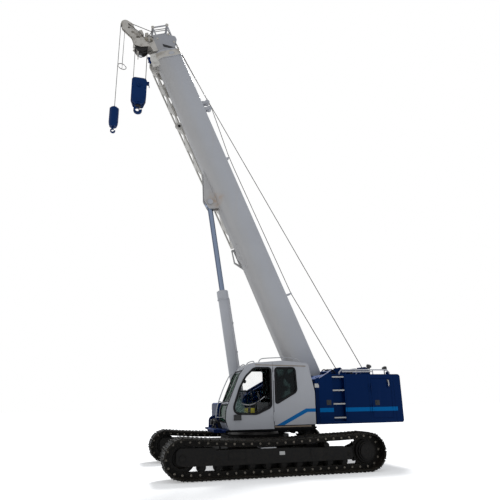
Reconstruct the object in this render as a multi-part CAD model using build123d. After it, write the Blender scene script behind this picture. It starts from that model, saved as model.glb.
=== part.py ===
from build123d import *
from math import asin, atan2, cos, degrees, hypot, pi, radians, sin, sqrt
import os

os.makedirs("parts", exist_ok=True)

# A crawler crane with a telescopic boom. Millimetres: +X ahead, +Y to the crane's left, +Z up.
# The origin is on the ground under the slewing axis.

# Clearances
slide_gap = 0.5         # telescoping tubes and beams in their sleeves
bearing_gap = 0.3       # pins, rods and wear pads
door_gap = 6.0          # round doors
pane_gap = 0.3          # glass in its frame

# Undercarriage
track_length = 5200.0
track_gauge = 3800.0
crawler_travel = 600.0
shoe_width = 700.0
shoe_count = 56
shoe_plate = 28.0
grouser_height = 26.0
link_height = 105.0
link_width = 42.0
link_channel = 120.0
wrap_radius = 381.0     # of the shoes' inner faces round the wheels
idler_raise = 12.0
ground_inset = 205.0    # from the front wheel's axle back to where the lower run leaves the ground
top_roller_inset = 995.0
top_roller_radius = 72.0
top_belt_z = 782.0
front_sag = 72.0
rear_sag = 6.0
carrier_drop = 12.0      # of the upper roller under the links, which cut its corner
roller_count = 10
roller_radius = 88.0
roller_width = 210.0
roller_flange = 16.0
roller_rear_inset = 565.0
roller_front_inset = 435.0
bracket_plate = 45.0
bracket_half = 62.0
frame_width = 400.0
frame_low = 275.0
frame_top = 590.0
frame_rear_top = 540.0
fork_length = 685.0     # from the front wheel's axle back to the fork's root
fork_plate = 50.0
skirt_plate = 14.0
idler_shaft = 45.0
sprocket_teeth = 21
sprocket_width = 70.0
drive_radius = 285.0
motor_radius = 235.0
beam_x = 950.0
beam_width = 300.0
beam_height = 280.0
beam_z = 470.0
beam_inner_y = 640.0
sleeve_wall = 35.0
sleeve_half_length = 935.0
body_half_y = 700.0
body_low = 300.0
body_top = 790.0
lashing_eye = (150.0, 75.0, 35.0, 0.55)    # reach, half width, bore radius, bore's place along the reach
lashing_plate = 40.0
ring_radius = 690.0
ring_inner = 540.0
ring_top = 850.0

# Turntable
deck_low = 900.0
deck_top = 950.0
web_thickness = 40.0
web_inner = 360.0       # half the clear slot that the boom lies in
ring_back = -1180.0     # where the deck ends and the higher tail frame begins
rear_low = 1030.0
side_gap = 40.0         # between a web and the housing beside it
deck_front = 1150.0
housing_low = 1020.0
housing_top = 2230.0
housing_side = 1300.0
housing_rear = -3500.0
housing_front = -1270.0
housing_wall = 20.0
weight_rear = -3710.0
winch_x = (-2470.0, -3330.0)
winch_z = 1960.0
winch_drum = 185.0
winch_flange = 270.0
winch_half = 270.0      # of the drum between its flanges
winch_bed_z = 1545.0
winch_bay = 400.0
carrier_x = (-1550.0, -2450.0, -3300.0)     # cross members that hold the housings
carrier_half = 90.0
carrier_z_span = (1080.0, 1260.0)
rail_rear_x = -3440.0
rail_front_x = (-1980.0, -1400.0)           # left, right
rail_rise = 115.0
rail_inset = 60.0
rail_corner = 70.0
rail_radius = 16.0

# Boom
boom_angle = 67.2
pivot_x = -1600.0
pivot_z = 2000.0
pivot_pin = 80.0
boom_travel = 6500.0    # of each section in the one round it
pad_length = 160.0
head_sheave_s = 11510.0
head_sheave_d = 680.0
head_sheave_radius = 195.0
tip_sheave_s = 12470.0
tip_sheave_d = 880.0
tip_sheave_radius = 130.0
sheave_shaft = 40.0

# Each boom section: rear end, front end, width, height, wall
sections = {
    "base": (500.0, 11070.0, 580.0, 800.0, 12.0),
    "second": (800.0, 11130.0, 500.0, 710.0, 11.0),
    "third": (960.0, 11190.0, 424.0, 624.0, 10.0),
    "tip": (1120.0, 11250.0, 352.0, 542.0, 9.0),
}

# Lattice jib stowed beside the boom
jib_s = (4560.0, 11000.0)
jib_y = (-730.0, -350.0)
jib_depth = 380.0
jib_start_z = -100.0    # of its middle, under the boom's axis
jib_lean = 1.3
jib_bays = 9
jib_hanger_s = (5200.0, 7800.0, 10300.0)
chord = 48.0
lacing = 26.0

# Luffing cylinder
ram_foot = (360.0, 1200.0)
ram_eye_s = 5940.0
ram_eye_d = 600.0
ram_pin = 55.0
ram_eye_radius = 125.0
ram_eye_width = 180.0
barrel_radius = 145.0
barrel_bore = 118.0
rod_radius = 75.0
barrel_length = 3420.0
rod_length = 3780.0
gland_length = 220.0

# Hoist
rope_radius = 9.0
rope_seat = 8.2         # how deep a rope's middle lies under a sheave's rim
groove_depth = 20.0
sheave_half = 26.0
sheave_step = 65.0      # from one rope line to the next
block_drop = 1417.0     # from the head's sheaves down to the block's
block_rise = 250.0      # of the block's plates over its sheaves
block_foot = 670.0      # of the block's plates under its sheaves
block_half_width = 228.0
block_plate = 24.0
block_plate_y = (-130.0, -12.0, 106.0)
hook_radius = 130.0
hook_reach = 955.0      # from the block's sheaves down to the hook's tip
ball_drop = 3085.0      # from the arm's sheave down to the ball's top
ball_height = 640.0
ball_radius = 138.0
ball_hook_radius = 75.0
ball_hook_reach = 850.0
# Rope rollers on the boom: place along it, height over its axis, roller radius, half width
rope_rollers = ((9165.0, 640.0, 75.0, 70.0), (8946.0, 622.0, 75.0, 70.0), (7157.0, 535.0, 26.0, 60.0),
                (2559.0, 600.0, 26.0, 110.0))
# Hoist ropes: main, then single line
rope_y = (28.0, -28.0)
rope_lead = 2300.0      # how far the main rope runs on below its last roller
tail_rope_lead = 8690.0
drum_layers = 60.0      # of rope wound on a drum

# Work lamps on their stalks: x, y, the lamp's height, its support's height, and which way it faces
work_lamps = ((-2940.0, 1100.0, 2440.0, 2230.0, 1), (-3380.0, 1100.0, 2390.0, 2230.0, -1),
              (1240.0, 640.0, 1120.0, 980.0, 1), (1240.0, 1000.0, 1120.0, 980.0, 1))
lamp_radius = 62.0
lamp_length = 105.0

# Cab
cab_inner_y = 420.0
cab_outer_y = 1300.0
cab_wall = 50.0
door_seam_x = -155.0
door_hinge_rise = 14.0


def save(name, shape):
    """Write one piece of the crane as a STEP file."""
    export_step(shape, f"parts/{name}.step")


def block(x_span, y_span, z_span):
    """A box between two X, two Y and two Z values."""
    spans = (x_span, y_span, z_span)
    middle = [(low + high) / 2 for low, high in spans]
    return Pos(*middle) * Box(*[abs(high - low) for low, high in spans])


def outline(rows):
    """A closed face from rows of x, z and corner radius."""
    return make_face(FilletPolyline(*[(x, z) for x, z, radius in rows],
                                    radius=[radius for x, z, radius in rows], close=True))


def side_plate(face, y_low, y_high):
    """Stand a face drawn in x and z upright and give it a thickness in y."""
    upright = Plane(origin=(0, y_high, 0), x_dir=(1, 0, 0), z_dir=(0, -1, 0))
    return extrude(upright * face, amount=y_high - y_low)


def cross_rod(x, z, radius, y_low, y_high):
    """A round bar along y."""
    return side_plate(Pos(x, z) * Circle(radius), y_low, y_high)


def along(start, end, radius):
    """A round bar from one point to another."""
    start = Vector(*start)
    step = Vector(*end) - start
    return extrude(Plane(origin=start, z_dir=step) * Circle(radius), amount=step.length)


def mirrored(shape):
    """The same piece on the crane's other side."""
    return mirror(shape, about=Plane.XZ)


def turned(rows):
    """A wheel about the y axis, alike on both sides, from rows of radius and y out to its hub."""
    half = [(radius, y) for radius, y in rows]
    other = [(radius, -y) for radius, y in reversed(rows)]
    profile = [(0, -half[-1][1])] + other + half + [(0, half[-1][1])]
    return revolve(Plane.XY * make_face(Polyline(*profile, close=True)), axis=Axis.Y)


# Crawlers

axle_z = wrap_radius + shoe_plate + grouser_height
idler_z = axle_z + idler_raise
axle_x = track_length / 2 - axle_z
belt_low = shoe_plate + grouser_height
rail_top = belt_low + link_height
track_y = track_gauge / 2
ground_front = axle_x - ground_inset
top_roller_x = top_roller_inset - axle_x


def arc_points(centre_x, centre_z, start_deg, end_deg, steps=40):
    turn = end_deg - start_deg
    angles = [radians(start_deg + turn * k / steps) for k in range(steps + 1)]
    return [(centre_x + wrap_radius * cos(a), centre_z + wrap_radius * sin(a)) for a in angles]


def sagging_run(start, end, sag, steps=30):
    shares = [k / steps for k in range(1, steps)]
    return [(start[0] + (end[0] - start[0]) * t,
             start[1] + (end[1] - start[1]) * t - 4 * sag * t * (1 - t)) for t in shares]


def belt_line():
    """The line of the shoes' inner faces, from the ground round the idler and back."""
    rise = idler_z - belt_low
    run = axle_x - ground_front
    reach = hypot(run, rise)
    lift = degrees(atan2(rise, run) - asin(wrap_radius / reach))
    idler = arc_points(axle_x, idler_z, lift - 90.0, 92.0)
    sprocket = arc_points(-axle_x, axle_z, 88.0, 270.0)
    carrier = (top_roller_x, top_belt_z)
    return ([(ground_front, belt_low)] + idler + sagging_run(idler[-1], carrier, front_sag)
            + [carrier] + sagging_run(carrier, sprocket[0], rear_sag) + sprocket)


def evenly_spaced(points, count):
    """Cut a closed line into equal lengths and return where they meet."""
    loop = points + [points[0]]
    lengths = [hypot(b[0] - a[0], b[1] - a[1]) for a, b in zip(loop, loop[1:])]
    step = sum(lengths) / count
    found, walked, k = [], 0.0, 0
    for n in range(count):
        while walked + lengths[k] < n * step:
            walked += lengths[k]
            k += 1
        t = (n * step - walked) / lengths[k]
        a, b = loop[k], loop[k + 1]
        found.append((a[0] + (b[0] - a[0]) * t, a[1] + (b[1] - a[1]) * t))
    return found


def off_chord(a, b, share, height):
    """A point at a share of the chord from a to b, and so far outside it."""
    dx, dz = b[0] - a[0], b[1] - a[1]
    length = hypot(dx, dz)
    return (a[0] + dx * share + dz / length * height, a[1] + dz * share - dx / length * height)


# One shoe's outline: share of the pitch, height over its inner face
groove = 0.2 * shoe_plate
bar_top = shoe_plate + grouser_height
shoe_profile = (
    (0.03, groove), (0.06, bar_top), (0.14, shoe_plate), (0.46, shoe_plate), (0.50, bar_top),
    (0.54, shoe_plate), (0.86, shoe_plate), (0.94, bar_top), (0.97, groove),
)


def track():
    """Shoes and link rails as one closed loop, about the track's own middle."""
    pins = evenly_spaced(belt_line(), shoe_count)
    chords = list(zip(pins, pins[1:] + pins[:1]))
    outer = [off_chord(a, b, share, height) for a, b in chords for share, height in shoe_profile]
    inner = Polygon(*pins, align=None)
    rail_line = [off_chord(a, b, 0.5, -link_height) for a, b in chords]
    rail = inner - Polygon(*rail_line, align=None)
    shoes = side_plate(Polygon(*outer, align=None) - inner, -shoe_width / 2, shoe_width / 2)
    half_channel = link_channel / 2
    rails = [side_plate(rail, y, y + link_width) for y in (half_channel, -half_channel - link_width)]
    return shoes.fuse(*rails)


def shift(shape, y):
    return Pos(0, y, 0) * shape


loop = belt_line()
shoe_pitch = sum(hypot(b[0] - a[0], b[1] - a[1]) for a, b in zip(loop, loop[1:] + loop[:1])) / shoe_count
half_turn = asin(shoe_pitch / 2 / wrap_radius)      # of a link round a wheel
wheel_inner = (wrap_radius * cos(half_turn) - link_height) * cos(half_turn) - bearing_gap
rail_outer = link_channel / 2 + link_width
flange_half = link_channel / 2 - 14.0               # a wheel's flange between the link rails


def idler():
    """The front wheel: a flange between the link rails, two treads under them, and its hub and shaft."""
    flange, rim, web, hub = wheel_inner + 62, wheel_inner - 46, 38.0, 105.0
    wheel = turned(((flange, flange_half), (wheel_inner, flange_half), (wheel_inner, rail_outer),
                    (rim, rail_outer), (rim - 20, web), (hub, web), (hub, rail_outer + 15)))
    shaft = cross_rod(0, 0, idler_shaft, -frame_width / 2 - 20, frame_width / 2 + 20)
    return Pos(axle_x, 0, idler_z) * wheel.fuse(shaft)


def sprocket():
    """The toothed rear wheel with its final drive."""
    tip = wrap_radius - 20
    root = tip - 55
    teeth = []
    for k in range(sprocket_teeth):
        for share, radius in ((-0.32, root), (-0.14, tip), (0.14, tip), (0.32, root)):
            angle = 2 * pi * (k + share) / sprocket_teeth
            teeth.append((radius * cos(angle), radius * sin(angle)))
    disc = side_plate(Polygon(*teeth, align=None), -sprocket_width / 2, sprocket_width / 2)
    outer_face = frame_width / 2 + 10
    steps = ((drive_radius - 32, 0, 110), (drive_radius - 75, 110, outer_face - 40),
             (drive_radius - 110, outer_face - 40, outer_face))
    covers = [cross_rod(0, 0, radius, low, high) for radius, low, high in steps]
    motor = [cross_rod(0, 0, motor_radius, -frame_width / 2 - 60, 0),
             cross_rod(0, 0, motor_radius - 70, -frame_width / 2 - 160, 0)]
    return Pos(-axle_x, 0, axle_z) * disc.fuse(*covers, *motor)


def roller(x, z, radius):
    """A track roller: a middle flange between the link rails and two treads."""
    wheel = turned(((radius + roller_flange, flange_half), (radius, flange_half), (radius, roller_width / 2)))
    return Pos(x, 0, z) * wheel


def roller_places():
    first, last = roller_rear_inset - axle_x, axle_x - roller_front_inset
    step = (last - first) / (roller_count - 1)
    z = rail_top + roller_radius + bearing_gap
    return [(first + k * step, z, roller_radius) for k in range(roller_count)]


carrier_z = top_belt_z - link_height - top_roller_radius - carrier_drop


def rollers():
    """The lower rollers on the ground run and the one that carries the upper run."""
    places = roller_places() + [(top_roller_x, carrier_z, top_roller_radius)]
    return Compound(children=[roller(*place) for place in places])


def crawler_frame():
    """The side frame with its idler fork, roller brackets, skirt, motor mount and two telescoping beams."""
    half = frame_width / 2
    rear = -axle_x + wrap_radius + 10
    front = axle_x - fork_length
    core = side_plate(outline((
        (rear, frame_low, 30), (front, frame_low, 0), (front, frame_top, 0), (300, frame_top, 400),
        (rear, frame_rear_top, 60))), -half, half)
    nose, crown = axle_x + 130, idler_z + 208
    fork = outline((
        (front - 30, frame_low + 10, 0), (axle_x - 60, frame_low + 10, 80), (nose, idler_z - 110, 80),
        (nose, idler_z + 130, 60), (axle_x + 60, crown, 60), (front - 30, crown - 15, 40)))
    fork -= Pos(axle_x, idler_z) * Circle(idler_shaft + bearing_gap)
    forks = [side_plate(fork, low, low + fork_plate) for low in (-half, half - fork_plate)]
    motor_plate = side_plate(outline((
        (rear, frame_low + 40, 0), (-axle_x, axle_z - drive_radius, 100),
        (-axle_x - drive_radius, axle_z, 120),
        (-axle_x, axle_z + drive_radius - 40, 100), (rear, frame_rear_top, 0))), -half, -half + fork_plate)
    motor_plate -= cross_rod(-axle_x, axle_z, motor_radius + bearing_gap, -half - 1, half)
    places = roller_places()
    roller_z, roof = places[0][1], places[0][1] + roller_radius + roller_flange + 12
    room = roller_width / 2 + bearing_gap
    sides = ((room, room + bracket_plate), (-room - bracket_plate, -room))
    brackets = [block((x - bracket_half, x + bracket_half), side, (roller_z - 40, frame_low + 60))
                for x, z, radius in places for side in sides]
    brackets += [block((top_roller_x - bracket_half, top_roller_x + bracket_half), side,
                       (frame_rear_top - 10, carrier_z + 38)) for side in sides]
    skirt = block((rear + 40, places[-2][0] - roller_radius), (-half, -half + skirt_plate),
                  (rail_top + 8, frame_low + 20))
    low_z, high_z = beam_z - beam_height / 2 + slide_gap, beam_z + beam_height / 2 - slide_gap
    beams = [block((x - beam_width / 2 + slide_gap, x + beam_width / 2 - slide_gap),
                   (beam_inner_y - track_y, -half + 20), (low_z, high_z)) for x in (-beam_x, beam_x)]
    flange_x = beam_width / 2 + 60
    flanges = [block((x - flange_x, x + flange_x), (-half - 35, -half + 10), (low_z - 25, frame_top - 20))
               for x in (-beam_x, beam_x)]
    caps = [block((x - flange_x, x + flange_x), (half - 10, half + 12), (low_z + 60, high_z - 60))
            for x in (-beam_x, beam_x)]
    channel = block((places[0][0] - 140, places[-1][0] + 140), (-room, room), (0, roof))
    carrier_room = block((top_roller_x - 110, top_roller_x + 110), (-room, room),
                         (carrier_z - top_roller_radius - 30, 2 * carrier_z))
    return core.fuse(*forks, motor_plate, *brackets, skirt, *beams, *flanges, *caps) - channel - carrier_room


crawler_pieces = {
    "track": track(),
    "idler": idler(),
    "sprocket": sprocket(),
    "rollers": rollers(),
    "crawler_frame": crawler_frame(),
}
for name, piece in crawler_pieces.items():
    left_piece = shift(piece, track_y)
    save(f"left_{name}", left_piece)
    save(f"right_{name}", mirrored(left_piece))


# Carbody and slewing ring

body_half_x = beam_x - beam_width / 2
sleeve_outer_x = beam_width / 2 + sleeve_wall
sleeve_outer_z = beam_height / 2 + sleeve_wall


def lashing_lug():
    """A level plate on the front sleeve with an upright bore for a shackle."""
    half, reach = lashing_eye[1], lashing_eye[0]
    x = beam_x + sleeve_outer_x
    plan = make_face(FilletPolyline((x, -half), (x + reach, -half), (x + reach, half), (x, half),
                                    radius=[0, half * 0.8, half * 0.8, 0], close=True))
    plan -= Pos(x + reach * lashing_eye[3], 0) * Circle(lashing_eye[2])
    return extrude(Plane.XY.offset(beam_z - lashing_plate / 2) * plan, amount=lashing_plate)


def carbody():
    """The middle body: a box with chamfered corners and two sleeves for the beams."""
    corner = 220.0
    plan = Polygon(
        (-body_half_x + corner, -body_half_y), (body_half_x - corner, -body_half_y),
        (body_half_x, -body_half_y + corner), (body_half_x, body_half_y - corner),
        (body_half_x - corner, body_half_y), (-body_half_x + corner, body_half_y),
        (-body_half_x, body_half_y - corner), (-body_half_x, -body_half_y + corner), align=None)
    body = extrude(Plane.XY.offset(body_low) * plan, amount=body_top - body_low)
    for x in (-beam_x, beam_x):
        body += block((x - sleeve_outer_x, x + sleeve_outer_x), (-sleeve_half_length, sleeve_half_length),
                      (beam_z - sleeve_outer_z, beam_z + sleeve_outer_z))
    for x in (-beam_x, beam_x):
        body -= block((x - beam_width / 2, x + beam_width / 2),
                      (-sleeve_half_length - 1, sleeve_half_length + 1),
                      (beam_z - beam_height / 2, beam_z + beam_height / 2))
    return body


save("carbody", carbody())
front_lug = lashing_lug()
save("lashing_lugs", Compound(children=[front_lug, mirror(front_lug, about=Plane.YZ)]))
ring_plan = Circle(ring_radius) - Circle(ring_inner)
save("slewing_ring", extrude(Plane.XY.offset(body_top) * ring_plan, amount=ring_top - body_top))


# Turntable

def turntable():
    """Deck, the two webs that carry boom, cylinder and winches, and the ring's upper race."""
    tail_front = ring_back - 150
    web = outline((
        (housing_rear, rear_low, 0), (tail_front, rear_low, 0), (ring_back, deck_low, 0),
        (deck_front, deck_low, 0), (deck_front, 1230, 120), (120, 1400, 300), (-900, 1640, 300),
        (pivot_x + 300, pivot_z + 190, 120),
        (pivot_x + 60, pivot_z + 250, 120), (pivot_x - 230, pivot_z + 190, 120), (-2150, 1700, 100),
        (housing_rear, winch_bed_z, 0)))
    webs = [side_plate(web, y, y + web_thickness) for y in (web_inner, -web_inner - web_thickness)]
    edge = web_inner + web_thickness
    lap = 5.0               # how far a cross plate reaches into the webs
    inside = (-web_inner - lap, web_inner + lap)
    base = block((ring_back, deck_front), (-900, 900), (deck_low, deck_top))
    rear_floor = block((housing_rear, tail_front), inside, (rear_low, rear_low + web_thickness))
    nose = side_plate(outline((
        (deck_front - 20, deck_low, 0), (1330, deck_low, 40), (1330, deck_top + 30, 30),
        (deck_front - 20, deck_top + 30, 0))), cab_inner_y, cab_outer_y - 60)
    cab_deck = block((ring_back, deck_front), (edge, cab_outer_y - 30), (deck_low, deck_top))
    tank_deck = block((ring_back, 950), (-cab_outer_y + 30, -edge), (deck_low, deck_top))
    carriers = [block((x - carrier_half, x + carrier_half), (low, low + side_gap + lap), carrier_z_span)
                for x in carrier_x for low in (edge - lap, -edge - side_gap)]
    bed_front = -2120.0
    winch_bed = block((housing_rear, bed_front), inside, (winch_bed_z - web_thickness, winch_bed_z))
    bed_wall = block((bed_front - web_thickness, bed_front), inside, (rear_low, winch_bed_z))
    cross_floor = block((-1000, -960), inside, (deck_top - lap, 1350))
    pin = cross_rod(pivot_x, pivot_z, pivot_pin, -edge - 30, edge + 30)
    bosses = [cross_rod(pivot_x, pivot_z, pivot_pin + 60, low, low + 25) for low in (edge, -edge - 25)]
    foot_bosses = [cross_rod(*ram_foot, 110, low, low + 60) for low in (web_inner - 35, -web_inner - 25)]
    race = Circle(ring_radius - 20) - Circle(ring_inner)
    race_low = ring_top + slide_gap
    upper_race = extrude(Plane.XY.offset(race_low) * race, amount=deck_low - race_low + 1)
    return webs[0].fuse(webs[1], base, rear_floor, nose, cab_deck, tank_deck, *carriers, winch_bed, bed_wall,
                        cross_floor, pin, *bosses, *foot_bosses, upper_race)


save("turntable", turntable())


def counterweight():
    """The cast weight across the rear, with a block that reaches forward under the winches."""
    slab = side_plate(outline((
        (weight_rear, housing_low, 60), (housing_rear, housing_low, 0), (housing_rear, housing_top, 0),
        (weight_rear, housing_top, 70))), -housing_side, housing_side)
    notch = block((weight_rear - 1, housing_rear + 1), (-winch_bay, winch_bay),
                  (winch_bed_z, housing_top + 1))
    return slab - notch


save("counterweight", counterweight())


def winch(x):
    """A wound rope drum between two flanges, its bearing brackets and its hydraulic motor."""
    half = winch_half
    drum = cross_rod(x, winch_z, winch_drum, -half, half)
    flanges = [cross_rod(x, winch_z, winch_flange, low, low + 22) for low in (-half - 22, half)]
    foot, shoulder = 230.0, 120.0
    bracket = outline((
        (x - foot, winch_bed_z, 0), (x + foot, winch_bed_z, 0), (x + foot, winch_bed_z + 95, 60),
        (x + shoulder, winch_z + 60, 80), (x - shoulder, winch_z + 60, 80), (x - foot, winch_bed_z + 95, 60)))
    brackets = [side_plate(bracket, low, low + 26) for low in (-half - 60, half + 34)]
    shaft = cross_rod(x, winch_z, 60, -half - 60, half + 60)
    motor = cross_rod(x, winch_z, 95, half + 50, half + 85)
    return drum.fuse(*flanges, *brackets, shaft, motor)


save("main_winch", winch(winch_x[0]))
save("auxiliary_winch", winch(winch_x[1]))


# Machinery housings

door_low, door_high = housing_low + 110.0, housing_top - 110.0
housing_door_x = (-3420.0, -2830.0)
step_x = -1910.0
step_half = 165.0
step_depth = 110.0
step_first = 1165.0
step_rise = 333.0
shoulder_x = -1560.0        # the sloped front edge of the left housing's top
shoulder_z = 2110.0
right_front = -480.0
louvre_x = (-2560.0, -1240.0)
louvre_z = (1330.0, 1990.0)
louvre_count = 9
louvre_tilt = 35.0


def knuckles(x, face_y, z_low, side, leaf):
    """Hinge knuckles on an upright axis. Odd ones belong to the door, even ones to its frame."""
    radius, length = 13.0, 70.0
    found = []
    for k in range(3):
        if (k % 2 == 1) == (leaf == "door"):
            z = z_low + k * (length + bearing_gap)
            tab = 60.0 * side
            barrel = extrude(Plane(origin=(x, face_y + door_hinge_rise, z)) * Circle(radius), amount=length)
            plate = block((min(x, x + tab), max(x, x + tab)), (face_y - 2, face_y + 8), (z, z + length))
            found += [barrel, plate]
    return found


def housing_shell(front_rows):
    """A closed sheet housing, open only at its door. Rows run from the bottom front upwards."""
    rows = [(housing_rear, housing_low, 0)] + front_rows + [(housing_rear, housing_top, 0)]
    inner_y = web_inner + web_thickness + side_gap
    outer = side_plate(outline(rows), inner_y, housing_side)
    wall = housing_wall
    face = offset(outline(rows), -wall)
    cavity = side_plate(face, inner_y + wall, housing_side - wall)
    return outer, cavity


def left_housing():
    rows = [(housing_front, housing_low, 30), (housing_front, shoulder_z, 40), (shoulder_x, housing_top, 60)]
    outer, cavity = housing_shell(rows)
    recess = block((step_x - step_half, step_x + step_half), (housing_side - step_depth, housing_side + 1),
                   (housing_low + 60, housing_top - 30))
    lining = block((step_x - step_half - housing_wall, step_x + step_half + housing_wall),
                   (housing_side - step_depth - housing_wall, housing_side + 1),
                   (housing_low + 40, housing_top - 10))
    shell = outer - (cavity - lining) - recess
    shell -= block(housing_door_x, (housing_side - 2 * housing_wall, housing_side + 1), (door_low, door_high))
    rungs = []
    for k in range(4):
        z = step_first + k * step_rise
        rungs.append(along((step_x - step_half - 5, housing_side - 25, z),
                           (step_x + step_half + 5, housing_side - 25, z), 15))
    hinge = []
    for z in (door_low + 120, door_high - 340):
        hinge += knuckles(housing_door_x[1], housing_side, z, 1, "frame")
    return shell.fuse(*rungs, *hinge)


def housing_door():
    """A hinged panel with its latch, set in the housing's door opening."""
    panel = block((housing_door_x[0] + door_gap, housing_door_x[1] - door_gap),
                  (housing_side - housing_wall, housing_side), (door_low + door_gap, door_high - door_gap))
    latch = block((housing_door_x[0] + 70, housing_door_x[0] + 115), (housing_side - 2, housing_side + 22),
                  (door_high - 230, door_high - 90))
    hinge = []
    for z in (door_low + 120, door_high - 340):
        hinge += knuckles(housing_door_x[1], housing_side, z, -1, "door")
    return panel.fuse(latch, *hinge)


def right_housing():
    """The engine's housing, with a louvred air inlet in its side."""
    rows = [(right_front, housing_low, 30), (right_front, 1700, 60), (-900, housing_top, 120)]
    outer, cavity = housing_shell(rows)
    shell = outer - cavity
    shell -= block(housing_door_x, (housing_side - 2 * housing_wall, housing_side + 1), (door_low, door_high))
    shell -= block(louvre_x, (housing_side - 2 * housing_wall, housing_side + 1), louvre_z)
    step = (louvre_z[1] - louvre_z[0]) / louvre_count
    slat = Rot(louvre_tilt, 0, 0) * Box(louvre_x[1] - louvre_x[0] + housing_wall, 8, step)
    middle = ((louvre_x[0] + louvre_x[1]) / 2, housing_side - housing_wall)
    slats = [Pos(*middle, louvre_z[0] + (k + 0.5) * step) * slat for k in range(louvre_count)]
    hinge = []
    for z in (door_low + 120, door_high - 340):
        hinge += knuckles(housing_door_x[1], housing_side, z, 1, "frame")
    return mirrored(shell.fuse(*slats, *hinge))


save("left_housing", left_housing())
save("right_housing", right_housing())
save("left_housing_door", housing_door())
save("right_housing_door", mirrored(housing_door()))
save("engine", block((-2600, -1450), (-1150, -560), (housing_low + housing_wall, 1800)))
save("fuel_tank", fillet(block((-420, 900), (-1260, -460), (deck_top, 1580)).edges().filter_by(Axis.Y), 60))


def handrail(x_front, y):
    """A tube rail with cut corners on two posts, along a housing's top."""
    top = housing_top + rail_rise
    corner = rail_corner
    bends = [(x_front, housing_top), (x_front, top - corner), (x_front - corner, top),
             (rail_rear_x + corner, top), (rail_rear_x, top - corner), (rail_rear_x, housing_top)]
    path = Polyline(*[(x, y, z) for x, z in bends])
    across = Plane(origin=path @ 0, z_dir=path % 0) * Circle(rail_radius)
    rail = sweep(across, path=path, transition=Transition.RIGHT)
    third = (x_front - rail_rear_x) / 3
    posts = [along((x, y, housing_top), (x, y, top), rail_radius - 4) for x in
             (rail_rear_x + third, rail_rear_x + 2 * third)]
    return rail.fuse(*posts)


rail_y = housing_side - rail_inset
rails = [handrail(rail_front_x[0], rail_y), handrail(rail_front_x[1], -rail_y)]
save("handrails", Compound(children=rails))


def work_lamp(x, y, z, foot_z, facing):
    """A round lamp on its stalk: a dished reflector rim and a tapering back."""
    radius, length = lamp_radius, lamp_length
    profile = ((0, 0), (radius * 0.45, 0), (radius, length * 0.62), (radius, length), (radius - 9, length),
               (radius - 9, length - 8), (0, length - 8))
    body = revolve(Plane.XZ * make_face(Polyline(*profile, close=True)), axis=Axis.Z)
    lamp = Pos(x - facing * length / 2, y, z) * Rot(0, facing * 90, 0) * body
    stalk = along((x, y, foot_z), (x, y, z - radius * 0.5), 13)
    foot = block((x - 40, x + 40), (y - 30, y + 30), (foot_z, foot_z + 10))
    return lamp.fuse(stalk, foot)


save("work_lamps", Compound(children=[work_lamp(*place) for place in work_lamps]))


# Cab

cab_rows = (
    (-1240, deck_top, 0), (970, deck_top, 60), (1040, 1180, 150), (1020, 1430, 400), (690, 2230, 500),
    (480, 2500, 300), (-450, 2570, 0), (-1100, 2500, 60), (-1250, 1800, 300))
cab_face = outline(cab_rows)
cab_core = offset(cab_face, -cab_wall)
door_window = outline((
    (858, 1440, 60), (795, 1318, 60), (278, 1300, 80), (-95, 1460, 40), (-95, 2385, 70), (330, 2385, 150),
    (560, 2170, 250), (700, 1910, 400)))
rear_window = outline((
    (-215, 1560, 40), (-290, 1560, 40), (-765, 1815, 50), (-735, 2385, 60), (-215, 2385, 60)))
right_window = outline((
    (700, 1420, 80), (-150, 1420, 80), (-150, 2370, 80), (330, 2370, 120), (560, 2150, 150)))
inner_low, inner_high = cab_inner_y + cab_wall, cab_outer_y - cab_wall
far = 5000.0


def in_x(low, high):
    return block((low, high), (-far, far), (0, far))


def cab_side(face, y_low, y_high, window):
    return side_plate(face - window, y_low, y_high)


cab_ring = side_plate(cab_face - cab_core, inner_low, inner_high)
floor_top = deck_top + cab_wall
roof_low = 2380.0
rear_split = -1060.0
floor_zone = block((-far, 900), (-far, far), (0, floor_top))
roof_zone = block((-far, 460), (-far, far), (roof_low, far))
rear_zone = block((-far, rear_split), (-far, far), (floor_top, roof_low))
cab_floor = cab_ring & floor_zone
cab_roof = cab_ring & roof_zone
cab_rear = cab_ring & rear_zone
front_zone = block((440, far), (-far, far), (0, far))
cab_front = (cab_ring & front_zone) - floor_zone - roof_zone
middle_y = (inner_low + inner_high) / 2
upper_pane_z, lower_pane_z = (1600.0, 2330.0), (1120.0, 1530.0)
pane_y = (inner_low + 45.0, inner_high - 45.0)


def in_pane(z_span, grow):
    return block((600, far), (pane_y[0] - grow, pane_y[1] + grow), (z_span[0] - grow, z_span[1] + grow))


pane_outer = offset(cab_face, -18)
pane_inner = offset(cab_face, -26)
front_sheet = side_plate(pane_outer - pane_inner, inner_low, inner_high) & front_zone
front_panes = [front_sheet & in_pane(span, -pane_gap) for span in (upper_pane_z, lower_pane_z)]
for span in (upper_pane_z, lower_pane_z):
    cab_front -= in_pane(span, 0)
rear_pane_z = (1750.0, 2300.0)
rear_pane_zone = block((-far, 0), (pane_y[0] + 40, pane_y[1] - 40), rear_pane_z)
cab_rear -= rear_pane_zone
rear_sheet = side_plate(pane_outer - pane_inner, inner_low, inner_high) & block(
    (-far, 0), (pane_y[0] + 40 + pane_gap, pane_y[1] - 40 - pane_gap),
    (rear_pane_z[0] + pane_gap, rear_pane_z[1] - pane_gap))
door_zone = in_x(door_seam_x + door_gap / 2, far)
fixed_zone = in_x(-far, door_seam_x - door_gap / 2)
sill_top = 1030.0
left_rear = (cab_side(cab_face, inner_high, cab_outer_y, rear_window) & fixed_zone) - block(
    (-far, far), (-far, far), (0, sill_top))
sill = block((-1150, door_seam_x - door_gap), (inner_high, cab_outer_y - 15), (deck_top, sill_top))
cab_door = cab_side(cab_face, inner_high + bearing_gap, cab_outer_y, door_window) & door_zone
cab_right = cab_side(cab_face, cab_inner_y, inner_low, right_window)
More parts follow.
